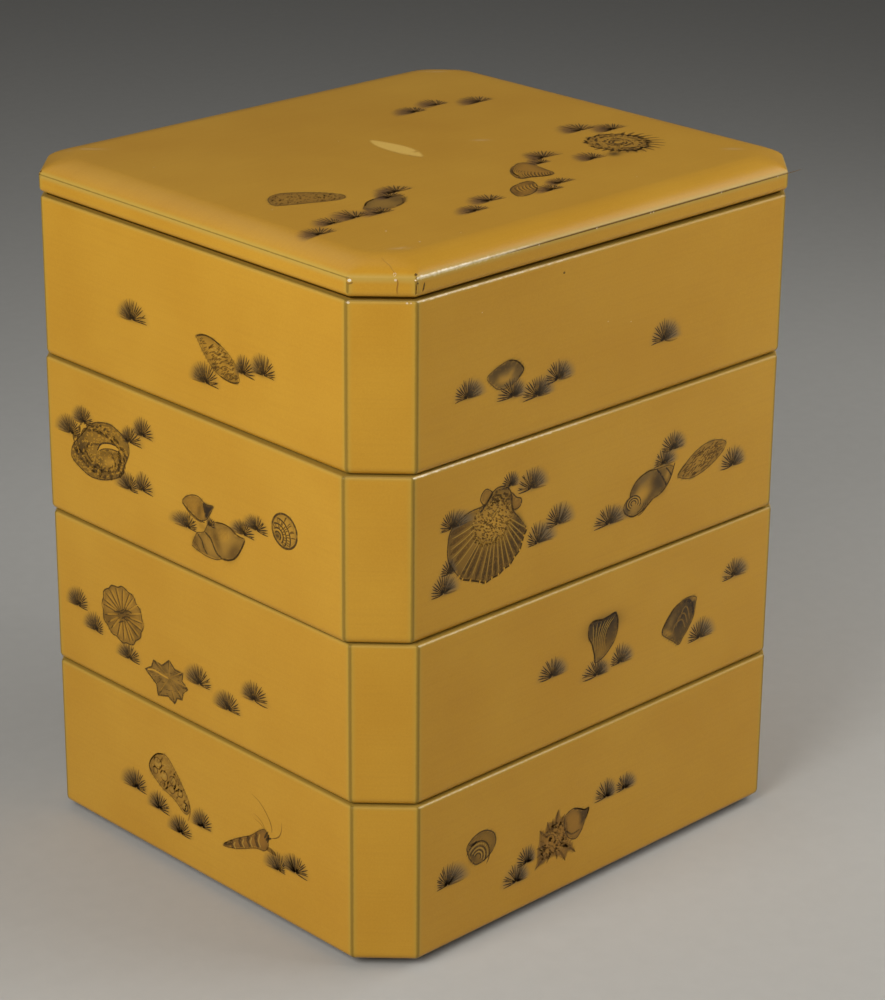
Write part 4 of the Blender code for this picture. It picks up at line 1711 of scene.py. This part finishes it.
def gold_lens(b: Brush) -> None:
    """A long pale gold wash in the middle of the lid."""
    b.wash([(-3.4, -6.6), (-5.6, 0), (-6.4, 8), (-5.2, 18), (-1.4, 25), (1.2, 18), (2.6, 9),
                     (1.6, 1), (-1.2, -5)], 60, PALE_GOLD, 1.0, 1.3)


def cone_shell(b: Brush) -> None:
    """A long mottled cone shell."""
    rim = b.shell([(-92, -19), (-90, -14), (-87, -10.5), (-83, -8.5), (-78, -9), (-71, -14),
                   (-66, -19.5), (-63, -25), (-64, -28.5), (-67, -30), (-73, -28.5), (-80, -25.5),
                   (-86, -23), (-90, -21)], SHELL, 0.8, UMBER, 0.5, line_cover=0.7)
    b.mottle(rim, 110, 40.0, 2.0, 0.6, BROWN, 0.48)
    b.mottle(rim, 30, 20.0, 1.8, 0.5, SCRAPED, 0.45)


def plain_shell(b: Brush) -> None:
    """A plain brown shell half hidden by tufts."""
    b.shell([(-70, -46), (-66, -42), (-61, -39), (-55, -38), (-48, -39.5), (-47, -43), (-50, -47),
             (-55, -50.5), (-61, -51.5), (-67, -50)], SMOKE, 0.62, BROWN, 0.5,
            line_cover=0.7)
    b.line([(-67, -43), (-63, -39.6), (-58, -38.2)], 0.8, BROWN, 0.7)
    b.line([(-58, -50.8), (-53, -49), (-48.6, -44)], 0.8, BROWN, 0.8)
    b.blot((-52, -44), (3.0, 4.0), -30.0, UMBER, 0.5)


def striped_fan(b: Brush) -> None:
    """A half fan with dark upright stripes that shorten to its tip."""
    b.shell([(3, -56), (5, -50), (9, -45), (14, -42), (19, -40), (22, -43), (21, -49), (20, -54),
             (19.5, -58), (17, -60.3), (13, -60), (8, -57.5)], ROSE, 0.6, UMBER, 0.55,
            line_cover=0.8)
    start = smooth_path([(5.4, -52.0), (5.2, -55.0), (8.4, -56.7), (12.6, -58.9), (17, -59.3)], 15)
    reach = np.linspace(13.5, 2.4, 15)[:, None]
    way = np.array([0.62, 0.78])
    b.spread(start, start + way * reach, 0.6, SOOT, 0.92, 0.5, bend=0.1, lift=0.01)
    b.spread(start[:-1] + (0.5, -0.4), start[:-1] + (0.5, -0.4) + way * 0.8 * reach[:-1], 0.35,
             OCHRE, 0.85, 0.3, bend=0.1, lift=0.02)
    b.line([(4.2, -54), (4.2, -56), (8.4, -57.2), (13, -59.6), (17, -60)], 1.0, SOOT, 0.85)


def striped_clam(b: Brush) -> None:
    """A small clam with a few slanting streaks."""
    b.shell([(-14.5, -73), (-13, -68), (-10, -64), (-5, -61.5), (1, -60.5), (4, -61.5), (2, -66),
             (-1, -69.5), (-5, -72.5), (-10, -74)], ROSE, 0.66, UMBER, 0.6)
    start = np.linspace((-10.0, -67.4), (-1.6, -68.6), 6)
    b.spread(start - (0.0, 1.6), start + (3.4, 4.4), 0.55, UMBER, 0.9, 0.6, bend=0.1)
    b.spread(start + (0.9, -1.8), start + (4.3, 3.8), 0.5, OCHRE, 0.8, 0.6, bend=0.1, lift=0.01)
    b.blots((-11.5, -69.5, 2.6, 2.0, 50.0, BROWN, 0.5), (1.0, -63.6, 2.0, 1.6, 30.0, UMBER, 0.5))


def spiny_turban(b: Brush) -> None:
    """A spiny turban seen from above: rings of hooked spines round a dark whorl."""
    middle = np.array([71.0, -45.0])
    turn = np.radians(np.arange(0.0, 360.0, 12.0))
    ragged = 1.0 + 0.08 * np.cos(10.0 * turn)
    rim = middle + unit(turn) * (12.5, 13.5) * ragged[:, None]
    b.shell(rim.tolist(), SHELL, 0.5, BROWN, 0.5, line_cover=0.5)
    for reach, count, length in ((12.2, 34, 3.4), (9.0, 26, 2.8), (5.4, 16, 2.4)):
        b.ring(tuple(middle), (reach, reach * 1.06), count, length, 1.1, UMBER, 0.8, 22.0)
    b.mottle(np.concatenate([rim, rim[:1]]), 60, 40.0, 2.0, 0.6, BROWN, 0.6)
    angle = np.radians(np.arange(185.0, 400.0, 13.0))
    way = unit(angle)
    long = 15.5 + 4.0 * np.clip(np.cos(angle - math.radians(320.0)), 0.0, 1.0)[:, None]
    b.spread(middle + way * 10.5, middle + way * long, 1.5, UMBER, 0.85, 0.5, NEEDLE, 0.08)
    b.blots((57, -56, 3.6, 2.6, 30.0, SOOT, 0.85), (66, -57, 6.0, 3.0, -15.0, UMBER, 0.6))
    b.arcs(tuple(middle), [2.2, 3.6], 20.0, 330.0, 0.9, SOOT, 0.9)
    b.blot(tuple(middle), (1.1, 1.0), 0.0, OCHRE, 0.9)


def lay_over(under: np.ndarray, tint: np.ndarray, cover: np.ndarray) -> np.ndarray:
    """Lay a tint over what is painted: the whole cover is cover + hidden (1 - cover).

    Args:
        under: (..., 4) colour, and how far it hides the ground.
        tint: (..., 3) colour of the new paint.
        cover: (..., 1) how far that paint hides what lies under it.

    Returns:
        (..., 4) colour and cover of both.
    """
    total = cover + under[..., 3:] * (1.0 - cover)
    share = cover / np.maximum(total, 1e-4)
    return np.concatenate([under[..., :3] * (1.0 - share) + tint * share, total], axis=-1)


def lay_washes(washes: list, place: np.ndarray) -> np.ndarray:
    """Lay washes over each other, each keeping one less its own cover of what lies under it.

    Args:
        washes: the washes in the order in which they are painted.
        place: (n, 2) places.

    Returns:
        (n, 4) colour and cover.
    """
    painted = np.ones((len(place), 4)) * (*linear(SMOKE.value), 0.0)
    for wash in washes:
        painted = lay_over(painted, np.array(linear(wash.ink.value)), wash.cover(place)[:, None])
    return painted


@dataclass(frozen=True)
class PaintedInk:
    """Lacquer ink drawn in fine strokes: near black to brown, a little rubbed, satin like its ground."""

    name: str = "painted_ink"
    ground: str = "C08B2B"
    roughness: float = 0.32
    ior: float = 1.3
    grit_size: float = 0.9

    def build(self) -> Material:
        """Make the material.

        Returns:
            The material, which reads the attribute ink: the colour, and how far it hides the ground.
        """
        material, tree = new_material(self.name)
        ink = add_node(tree, "Attribute", attribute_name="ink").outputs
        place = add_node(tree, "TexCoord").outputs["Object"]
        grit = add_node(tree, "TexNoise", {
            "Vector": place, "Scale": 1.0 / (self.grit_size * MM), "Detail": 2.0})
        kept = add_node(tree, "MapRange", {0: grit, 1: 0.30, 2: 0.50, 3: 0.75, 4: 1.0})
        cover = add_node(tree, "Math", {0: ink["Alpha"], 1: kept}, operation="MULTIPLY")
        colour = add_node(tree, "Mix", {0: cover, MIX_A: self.ground, MIX_B: ink["Color"]},
                          data_type="RGBA")
        shader = add_node(tree, "BsdfPrincipled", {
            "Base Color": colour, "Roughness": self.roughness, "IOR": self.ior})
        add_node(tree, "OutputMaterial", {"Surface": shader})
        return material


@dataclass(frozen=True)
class PaintedFace:
    """One face's brush, the way its millimetres lie on the piece, and its place on the bake sheet."""

    brush: Brush
    lie: Laying
    sheet: Pair


@dataclass(frozen=True)
class StrokeMesh:
    """All strokes of one piece as flat closed ribbons.

    A ribbon's section is a triangle: its two upper edges lie just over the lacquer and its keel lies
    in it. Each end runs out to a tip.
    """

    name: str
    standing: Standing
    faces: list[PaintedFace]
    over: float = 0.012
    keel: float = 0.03
    sheet_size: float = 440.0

    def ribbons(self, face: PaintedFace) -> Iterator[tuple[np.ndarray, ...]]:
        """Turn each batch of a face's strokes into ribbons.

        Args:
            face: the face.

        Yields:
            The points (s, n, 3) in the piece's millimetres, their places on the face and their
            colours with cover (s, n, 4).
        """
        for path, half, tint, lift in face.brush.strokes:
            way = np.gradient(path, axis=1)
            way = way / np.maximum(np.linalg.norm(way, axis=2, keepdims=True), 1e-6)
            aside = leftward(way) * half[..., None]
            rings = np.stack([path - aside, path + aside, path], axis=2)
            strokes, steps = path.shape[:2]
            place = np.concatenate([(path[:, 0] - way[:, 0] * half[:, :1])[:, None],
                                    rings.reshape(strokes, -1, 2),
                                    (path[:, -1] + way[:, -1] * half[:, -1:])[:, None]], axis=1)
            high = self.over + lift
            height = np.array([0.0] + [high, high, -self.keel] * steps + [0.0])
            under = lay_washes(face.brush.washes, path.reshape(-1, 2)).reshape(strokes, steps, 4)
            mixed = lay_over(under, tint[..., :3], tint[..., 3:])
            colour = np.concatenate([mixed[:, :1], np.repeat(mixed, 3, axis=1), mixed[:, -1:]], axis=1)
            yield face.lie(place, np.broadcast_to(height, place.shape[:2])), place, colour

    def build(self, ink: Material) -> Object:
        """Make one object of all ribbons and dress it.

        Args:
            ink: its finish.

        Returns:
            The object.
        """
        points, colours, sheet, quads, tips = [], [], [], [], []
        count = 0
        for face in self.faces:
            for spots, place, colour in self.ribbons(face):
                strokes, size = spots.shape[:2]
                steps = (size - 2) // 3
                first = count + np.arange(strokes)[:, None, None] * size
                ring = 1 + 3 * np.arange(steps)[None, :, None]
                j = np.arange(3)[None, None, :]
                k = (j + 1) % 3
                body, ahead = ring[:, :-1], ring[:, 1:]
                quads.append(np.stack([first + body + j, first + ahead + j, first + ahead + k,
                                       first + body + k], axis=3).reshape(-1, 4))
                for tip, near, one, other in ((0, ring[:, :1], j, k), (size - 1, ring[:, -1:], k, j)):
                    tips.append(np.stack([first + tip + 0 * j, first + near + one,
                                          first + near + other], axis=3).reshape(-1, 3))
                points.append(spots.reshape(-1, 3))
                colours.append(colour.reshape(-1, 4))
                sheet.append(place.reshape(-1, 2) + face.sheet)
                count += strokes * size
        blocks = [np.concatenate(quads), np.concatenate(tips)]
        painting = mesh_object(self.name, self.standing.place(np.concatenate(points)), blocks, False)
        set_attribute(painting, "ink", np.concatenate(colours))
        corner = np.concatenate([block.ravel() for block in blocks])
        set_bake_map(painting, np.concatenate(sheet)[corner] / self.sheet_size)
        painting.data.materials.append(ink)
        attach(painting, "root")
        return painting


@dataclass
class Wear:
    """The marks of use: chips down to the pale ground, cracks, nicks, specks and rubbed smears."""

    brush: Brush

    def chip(self, u: float, v: float, size: float, turn: float = 0.0) -> None:
        """A small chip: its pale ground, brightest in the middle, with a dark lower lip.

        Args:
            u: its place to the right.
            v: its height.
            size: its length in millimetres.
            turn: its direction in degrees.
        """
        angle = math.radians(turn)
        way = 0.5 * size * np.array([math.cos(angle), math.sin(angle)])
        middle = np.array([u, v])
        low = middle + (0.1, -0.42 * size)
        self.brush.spread([low - way], [low + way], 0.4 * size, OLIVE, 0.8, form=DAB)
        self.brush.spread([middle - way], [middle + way], 0.75 * size, SCRAPED, 0.9, form=DAB,
                          lift=0.010)
        self.brush.spread([middle - 0.6 * way], [middle + 0.6 * way], 0.45 * size, CHIP, 1.0,
                          form=DAB, lift=0.020)

    def crack(self, knots: list, width: float, ink: Ink, cover: float) -> None:
        """A hair crack in the lacquer, with a paler lip beside it."""
        self.brush.line(knots, width, ink, cover, form=DAB)
        self.brush.line([(u + 0.55 * width + 0.12, v) for u, v in knots], 0.22, SCRAPED, 0.6,
                        form=DAB, lift=0.008)

    def speck(self, u: float, v: float, size: float = 0.8, dark: bool = False) -> None:
        """A small pale or dark speck."""
        ink = UMBER if dark else CHIP
        self.brush.spread([(u - 0.5 * size, v)], [(u + 0.5 * size, v)], 0.8 * size, ink,
                          0.85 if dark else 0.6, form=DAB)

    def smear(self, u: float, v: float, length: float, turn: float) -> None:
        """A faint rubbed smear."""
        self.brush.blot((u, v), (0.5 * length, 0.9), turn, CHIP, 0.18)


def wear_top(brush: Brush) -> None:
    """Wear the top of the lid: its front corner, its two end corners and the flat.

    Args:
        brush: that of the lid's top.
    """
    wear = Wear(brush)
    for u, v, size in TOP_SPECKS:
        wear.speck(u, v, size)
    for u, v, length, turn in TOP_SMEARS:
        wear.smear(u, v, length, turn)
    for u, v in ((-119.6, 91.0), (119.7, -91.0), (-102.0, -108.3)):
        wear.speck(u, v, 1.5, dark=True)
    wear.speck(118.6, -90.3, 0.9)
    inward = math.sqrt(0.5)
    run = [(-0.6, 9.4), (0.6, 7.0), (2.6, 4.4), (3.8, 2.2), (5.2, 0.6)]
    wear.crack([(-111.2 + (u + d) * inward, -100.2 + (d - u) * inward) for u, d in run], 0.3,
               ROSE, 0.4)
    wear.speck(-111.2 + 5.4 * inward, -100.2 - 3.7 * inward, 1.3)


def wear_band(corner: Brush, front: Brush) -> None:
    """Wear the lid's band: the crack down the front corner, and a nick beside it.

    Args:
        corner: the brush of the band's front corner.
        front: that of its right front.
    """
    wear = Wear(corner)
    wear.crack([(5.4, 7.2), (5.7, 5.6), (5.4, 3.6), (5.5, 1.4)], 0.55, ROSE, 0.7)
    wear.chip(-11.6, 6.6, 2.5, 12.0)
    wear.speck(4.9, 6.9, 1.1)
    wear.chip(12.0, 6.9, 1.2)
    wear.crack([(12.2, 5.6), (12.3, 3.6), (12.1, 1.4)], 0.5, UMBER, 0.85)
    front.line([(-58, 7.25), (-20, 7.3), (30, 7.3), (80, 7.25), (112, 7.3)], 0.55, UMBER, 0.75,
               form=DAB)
    wear = Wear(front)
    for u in (-40.0, -9.0, 21.0, 22.6, 62.0, 96.0):
        wear.speck(u, 7.1, 0.8)
    wear.crack([(-98.5, 5.4), (-98.9, 3.6), (-99.5, 2.0)], 0.75, UMBER, 0.9)
    wear.speck(-101.9, 5.6, 1.0, dark=True)


def front_wear_and_glints(corner: Brush, brush: Brush) -> None:
    """Pale specks as painted glints on the top tier's corner rim; a mark and specks on its right front.

    Args:
        corner: the brush of the front corner.
        brush: that of the right front.
    """
    wear = Wear(corner)
    # Painted highlights: pale specks where the corner's rim glints
    for u, length in ((-11.9, 1.2), (9.2, 0.9), (10.6, 0.7)):
        wear.speck(u, 66.8, length)
    wear = Wear(brush)
    wear.speck(-26.0, 62.0, 1.2, dark=True)
    for u, v in ((12.0, 34.0), (-1.0, 37.0), (-69.0, 56.0)):
        wear.speck(u, v, 0.5)


@dataclass
class Composition:
    """What is painted where: for each face its tufts of needles and its shells.

    A tuft is its foot, its left and right ends and its top. A shell is its drawing, its shift and
    whether it's mirrored. Each face carries its smoke on one side.
    """

    chance: np.random.Generator

    def face(self, tufts: tuple, shells: tuple, smoke: float, smoke_ink: Ink = SMOKE,
             depth: float = 1.0) -> Brush:
        """Paint one face.

        Args:
            tufts: the tufts.
            shells: the shells.
            smoke: the side of every tuft that is smoky, -1 for the left and 1 for the right.
            smoke_ink: the smoke's colour.
            depth: how deep the smoke is, 1 being usual.

        Returns:
            The brush with all its strokes and washes.
        """
        brush = Brush(self.chance, smoke=smoke_ink, smoke_depth=depth,
                      needle=SOOT if depth == 1.0 else UMBER)
        for draw, shift, mirrored in shells:
            draw(brush.at(*shift, mirrored))
        for u, v, left, right, top in tufts:
            brush.tuft(u, v, left, right, top, smoke)
        return brush

    def tier(self, name: str) -> dict[Side, Brush]:
        """Paint the four long faces of a tier.

        Args:
            name: the tier's CAD node.

        Returns:
            The brush of each face.
        """
        here = (0.0, 0.0)
        tufts, shells = TIER_TUFTS[name], TIER_SHELLS[name]
        painted: dict[Side, Brush] = {}
        for side, smoke in ((WEST, -1.0), (SOUTH, 1.0), (EAST, -1.0), (NORTH, 1.0)):
            drawn = tuple(s if isinstance(s, tuple) else (s, here, False) for s in shells[side])
            painted[side] = self.face(tufts[side], drawn, smoke, ASH if smoke > 0.0 else SMOKE)
        return painted

    def lid(self) -> Brush:
        """Paint the top of the lid."""
        shells = tuple((draw, (0.0, 0.0), False) for draw in LID_SHELLS)
        return self.face(LID_TUFTS, shells, -1.0, MAUVE, 0.8)


# Pale specks on the lid's top with their sizes, and rubbed smears with their lengths and turns
TOP_SPECKS = ((-83.0, -72.0, 0.7), (-83.0, -90.0, 0.8), (-92.0, 53.0, 0.6), (-12.0, 33.0, 0.6),
              (39.0, -85.0, 0.7), (-96.0, -23.0, 0.6), (-64.0, -92.0, 0.6))
TOP_SMEARS = ((-95.0, 92.0, 14.0, -44.0), (97.0, 92.0, 12.0, -44.0), (-94.0, -91.0, 7.0, -41.0),
              (98.0, -84.0, 8.0, -44.0), (32.0, -5.0, 7.0, -40.0))

# Tufts of needles on each tier: foot, left end, right end and top
TIER_TUFTS = {
    "top_tier": {
        WEST: ((-34, 29.3, -42, -24, 36.5), (10.5, 15, 2.5, 19, 22.5), (33, 24.5, 29, 40, 31.5),
                    (45, 27, 38, 52, 34.5)),
        SOUTH: ((-76, 24.3, -83, -68, 31), (-52, 19, -61, -46, 25.5), (-39, 16, -48, -31, 23),
                     (-28, 20, -36, -20, 27), (31.5, 21.8, 24, 40, 29.7)),
        EAST: ((-48, 26, -56, -40, 33.5), (22, 18, 14, 30, 25.5)),
        NORTH: ((-40, 20, -48, -32, 27.5), (30, 30, 22, 38, 37.5)),
    },
    "second_tier": {
        WEST: ((-67, 45, -74, -60, 51.5), (-76, 38, -85, -69, 45), (-37, 45, -42, -28, 51),
                    (-28.5, 50, -34, -21, 57), (-38, 24.5, -46, -32, 31), (-29.5, 26.5, -34, -22, 33.5),
                    (-1, 19.3, -11, 5, 25), (13.0, 24.4, 10.8, 16.4, 27.6), (33, 26.8, 26, 40, 32),
                    (41, 31, 34, 48, 36.5)),
        SOUTH: ((-82, 42, -88, -72, 48.5), (-51, 51, -56, -47, 56), (-40, 46.8, -48, -32, 54.5),
                     (-36, 23, -42, -27, 31), (-25, 28, -32, -17, 36), (-83, 24, -88, -80, 29.5),
                     (-86, 16.5, -93, -79, 24), (4, 19.8, -5, 13, 27), (35, 37, 29, 42, 43),
                     (40, 42, 33, 47, 49), (77, 25.5, 69, 84, 33)),
        EAST: ((-30, 24, -38, -22, 31.5), (40, 40, 32, 48, 47.5), (64, 22, 56, 72, 29.5)),
        NORTH: ((-62, 34, -70, -54, 41.5), (12, 20, 4, 20, 27.5)),
    },
    "third_tier": {
        WEST: ((-77, 29, -84, -70, 36.5), (-65.5, 21.5, -73, -60, 28.5), (-43.5, 16, -51, -36, 22),
                    (1.5, 20, -7, 9, 27.5), (19, 15, 11, 27, 22.3), (35, 24.8, 28, 44, 32)),
        SOUTH: ((-28.5, 31.2, -37, -21, 38.5), (-2.5, 23.3, -12, 4, 30), (11, 24.7, 5, 18, 32),
                     (59.5, 20.5, 52, 68, 28.5), (80, 42.3, 72, 88, 49.5)),
        EAST: ((-58, 20, -66, -50, 27.5), (8, 36, 0, 16, 43.5)),
        NORTH: ((-14, 18, -22, -6, 25.5), (48, 34, 40, 56, 41.5)),
    },
    "bottom_tier": {
        WEST: ((-42, 25, -51, -35, 33), (-27, 21, -34, -20, 28), (-13.5, 15, -21, -6, 22),
                    (0.5, 23.3, -6, 7, 30.5), (48, 22.5, 40, 52, 30), (58, 25.5, 50, 66, 32.5)),
        SOUTH: ((-86, 27.8, -92, -76, 36), (-41.5, 21, -48, -37, 28), (-47.5, 14.5, -56, -41, 22),
                     (4.5, 34, -3, 10, 41.5), (15.5, 34, 10, 22, 40.5)),
        EAST: ((-20, 22, -28, -12, 29.5), (52, 30, 44, 60, 37.5)),
        NORTH: ((-52, 22, -60, -44, 29.5), (22, 34, 14, 30, 41.5)),
    },
}

# Shells on each tier, where they lie on the fronts, or with their shift and mirror on the backs
TIER_SHELLS = {
    "top_tier": {
        WEST: (lens_shell,),
        SOUTH: (clam,),
        EAST: ((clam, (40.0, 4.0), False),),
        NORTH: ((lens_shell, (-10.0, 2.0), True),),
    },
    "second_tier": {
        WEST: (turban, small_whelk, large_whelk,
                    spiral_shell),
        SOUTH: (scallop, moon_snail, long_oval),
        EAST: ((long_oval, (40.0, 8.0), True), (small_whelk, (0.0, 6.0), True)),
        NORTH: ((moon_snail, (-20.0, 6.0), True),),
    },
    "third_tier": {
        WEST: (limpet, star_shell),
        SOUTH: (half_fan, mussel),
        EAST: ((large_whelk, (60.0, 12.0), True),),
        NORTH: ((mussel, (10.0, 2.0), True),),
    },
    "bottom_tier": {
        WEST: (club_shell, auger),
        SOUTH: (round_snail, murex),
        EAST: ((limpet, (-10.0, 0.0), True),),
        NORTH: ((auger, (10.0, -2.0), True),),
    },
}

# The tufts and shells on the lid
LID_TUFTS = (
    (43.5, 45.5, 34, 50, 54), (58.5, 48, 50, 65, 57), (75, 39.5, 66, 84, 48.5),
    (73.5, -22, 65, 83, -12), (84, -30, 76, 93, -21), (46, -55.5, 39, 53, -46.5),
    (-104, -59, -111, -95, -51), (-91, -52, -98, -86, -44), (-79.5, -52, -88, -72, -42),
    (-68, -54, -76, -62, -46), (-52, -41, -57, -45, -34), (-45, -37, -53, -36, -29),
    (-40, -76, -48, -33, -69), (-27, -70, -35, -19, -62), (2, -75.5, -6, 8, -69),
    (11, -71, 5, 19, -65), (26, -46, 21, 31, -39), (32, -41, 26, 42, -32))
LID_SHELLS = (gold_lens, cone_shell, plain_shell,
              striped_fan, striped_clam, spiny_turban)


@dataclass(frozen=True)
class Studio:
    """A pale floor, soft lamps to the left, to the right and over the box, an accent and the camera.

    The camera is given by its bearing round the box, its height angle, its roll, its distance and
    its focal length in pixels of the 885 x 1000 picture. A lamp is its name, the way to it, its
    distance, its side and its watts. Lengths are metres.
    """

    aim: tuple[float, float, float] = (0.0, 0.0, 0.15504)
    bearing: float = -43.74
    lift: float = 21.31
    roll: float = 0.29
    distance: float = 1.250
    focal_pixels: float = 2988.0
    picture_height: float = 1000.0
    shift: Pair = (0.0268, -0.040)
    sensor: float = 36.0
    floor_reach: float = 8.0
    lamps: tuple[tuple, ...] = (
        ("left", (-0.8455, -0.1874, 0.48), 1.0, 0.60, 8.1),
        ("right", (0.6634, -0.5567, 0.49), 0.8, 0.86, 5.0),
        ("over", (0.05, 0.55, 0.83), 1.2, 0.80, 1.1),
        ("accent", (0.62, -0.62, 0.48), 1.5, 0.10, 1.0),
    )
    surround: float = 0.072

    def camera(self) -> Object:
        """Make the camera that looks from the photograph's side."""
        turn, lift, roll = (math.radians(v) for v in (self.bearing, self.lift, self.roll))
        ahead = Vector((-math.sin(turn) * math.cos(lift), math.cos(turn) * math.cos(lift),
                        -math.sin(lift)))
        right = Vector((math.cos(turn), math.sin(turn), 0.0))
        up = right.cross(ahead)
        tilted = right * math.cos(roll) + up * math.sin(roll)
        upright = up * math.cos(roll) - right * math.sin(roll)
        data = bpy.data.cameras.new("camera")
        data.sensor_width = self.sensor
        data.lens = self.focal_pixels / self.picture_height * self.sensor
        data.shift_x, data.shift_y = self.shift
        camera = bpy.data.objects.new("camera", data)
        axes = Matrix((tilted, upright, -ahead)).transposed().to_4x4()
        camera.matrix_world = Matrix.Translation(Vector(self.aim) - ahead * self.distance) @ axes
        bpy.context.scene.collection.objects.link(camera)
        bpy.context.scene.camera = camera
        return camera

    def lamp(self, name: str, way: tuple[float, float, float], distance: float, size: float,
             power: float) -> Object:
        """Hang a square soft lamp that looks at the box.

        Args:
            name: the lamp's name.
            way: the direction from the box to the lamp.
            distance: metres from the box.
            size: its side in metres.
            power: watts.

        Returns:
            The lamp.
        """
        data = bpy.data.lights.new(name, "AREA")
        data.shape = "SQUARE"
        data.size = size
        data.energy = power
        lamp = bpy.data.objects.new(name, data)
        toward = Vector(way).normalized()
        lamp.location = Vector(self.aim) + toward * distance
        lamp.rotation_euler = toward.to_track_quat("Z", "Y").to_euler()
        bpy.context.scene.collection.objects.link(lamp)
        return lamp

    def floor(self) -> Object:
        """Lay the floor just under the foot."""
        reach, low = self.floor_reach, -0.05 * MM
        points = np.array([(-reach, -reach, low), (reach, -reach, low), (reach, reach, low),
                           (-reach, reach, low)])
        floor = mesh_object("floor", points, [np.array([[0, 1, 2, 3]])])
        floor.data.materials.append(PaleFloor().build())
        return floor

    def build(self) -> None:
        """Set the camera, the lamps, the grey surround and the floor."""
        self.camera()
        for name, way, distance, size, power in self.lamps:
            self.lamp(name, way, distance, size, power)
        world = bpy.data.worlds.new("surround")
        world.use_nodes = True
        background = world.node_tree.nodes["Background"].inputs
        background["Color"].default_value = (1.0, 1.0, 1.0, 1.0)
        background["Strength"].default_value = self.surround
        bpy.context.scene.world = world
        bpy.context.scene.view_settings.view_transform = "Standard"
        self.floor()


@dataclass(frozen=True)
class PaleFloor:
    """Matt pale paper, rolled smooth: it gives the eye a plain ground with a faint fibre mottle."""

    name: str = "pale_paper_floor"
    light: str = "B9B7B1"
    dark: str = "B3B1AB"
    roughness: float = 0.9
    fibre_size: float = 9.0

    def build(self) -> Material:
        """Make the material."""
        material, tree = new_material(self.name)
        place = add_node(tree, "TexCoord").outputs["Object"]
        fibre = add_node(tree, "TexNoise", {
            "Vector": place, "Scale": 1.0 / (self.fibre_size * MM), "Detail": 3.0})
        colour = add_node(tree, "Mix", {0: fibre, MIX_A: self.dark, MIX_B: self.light},
                          data_type="RGBA")
        shader = add_node(tree, "BsdfPrincipled", {"Base Color": colour, "Roughness": self.roughness})
        add_node(tree, "OutputMaterial", {"Surface": shader})
        return material


# The painter's chance, and the octagon side of the cut corner at the front
SEED = 24
FRONT_CORNER = 5

# Where a tier's four faces and its front corner lie on its sheet of strokes, and the lid's top,
# front corner and band on theirs
SHEET_PLACES = ((110.0, 5.0), (330.0, 5.0), (110.0, 80.0), (330.0, 80.0))
CORNER_PLACE = (20.0, 160.0)
LID_PLACES = ((130.0, 120.0), (20.0, 245.0), (180.0, 245.0))
LID_SHEET = 260.0

# Each piece's slip as it stands: X and Y in millimetres, and the turn in degrees
SLIPS = {
    "bottom_tier": (0.0, 0.0, 0.0),
    "third_tier": (0.1, 0.6, -0.05),
    "second_tier": (-0.6, 1.0, -0.60),
    "top_tier": (0.2, 1.3, -0.30),
    "lid": (0.3, 1.3, -0.25),
}


def stand(name: str, below: float) -> Standing:
    """Read a piece's height from the frame.

    Args:
        name: the CAD node's name.
        below: how far the piece reaches below its own zero, in millimetres.

    Returns:
        Where the piece stands.
    """
    return Standing(*SLIPS[name], height=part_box(name)[0][2] / MM + below)


def triangles(piece: Object) -> int:
    """How many triangles a piece has."""
    return sum(polygon.loop_total - 2 for polygon in piece.data.polygons)


def main() -> None:
    """Build the studio, the painted tiers and the painted lid."""
    logging.basicConfig(level=logging.INFO, format="%(message)s")
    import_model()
    Studio().build()
    # Lit and shaded copies: the lower two tiers get a dimmer, less cream painted highlight on their rims
    bright_glint_lacquer = OchreLacquer("ochre_lacquer_upper_tier").build()
    dim_glint_lacquer = OchreLacquer("ochre_lacquer_lower_tier", glint="E2C67C", glint_cover=0.4,
                                 rim_ior=1.55).build()
    # The lid: no rim shade, a darker painted shade in its joint, a narrower painted highlight that stops
    # sooner
    lid_lacquer = OchreLacquer("ochre_lacquer_lid", ridge_width=2.6, rim_joint_shade=0.0, core_width=0.7,
                               painted_shade="221904", painted_shade_width=1.5, glint_width=0.9,
                               glint_end=-35.0).build()
    ink = PaintedInk().build()
    picture = Composition(np.random.default_rng(SEED))
    made = []
    for name in ("bottom_tier", "third_tier", "second_tier", "top_tier"):
        tray = Tray(name, stand(name, below=Tray.foot_drop))
        brushes = picture.tier(name)
        faces = [PaintedFace(brush, tray.lie(side.value), place)
                 for (side, brush), place in zip(brushes.items(), SHEET_PLACES)]
        if name == "top_tier":
            corner = Brush(picture.chance)
            front_wear_and_glints(corner, brushes[SOUTH])
            faces.append(PaintedFace(corner, tray.lie(FRONT_CORNER), CORNER_PLACE))
        lacquer = bright_glint_lacquer if name in ("second_tier", "top_tier") else dim_glint_lacquer
        made += [tray.build(lacquer, brushes),
                 StrokeMesh(name + "_painting", tray.standing, faces).build(ink)]
    lid = Lid("lid", stand("lid", below=Lid.skirt_drop))
    brush = picture.lid()
    corner, front = Brush(picture.chance), Brush(picture.chance)
    wear_top(brush)
    wear_band(corner, front)
    lies = (lid.lie_over, lid.lie(FRONT_CORNER), lid.lie(SOUTH.value))
    faces = [PaintedFace(*face) for face in zip((brush, corner, front), lies, LID_PLACES)]
    made += [lid.build(lid_lacquer, brush),
             StrokeMesh("lid_painting", lid.standing, faces, sheet_size=LID_SHEET).build(ink)]
    for piece in made:
        log.info("%s: %d triangles", piece.name, triangles(piece))
    log.info("all: %d triangles", sum(triangles(piece) for piece in made))


if __name__ == "__main__":
    main()
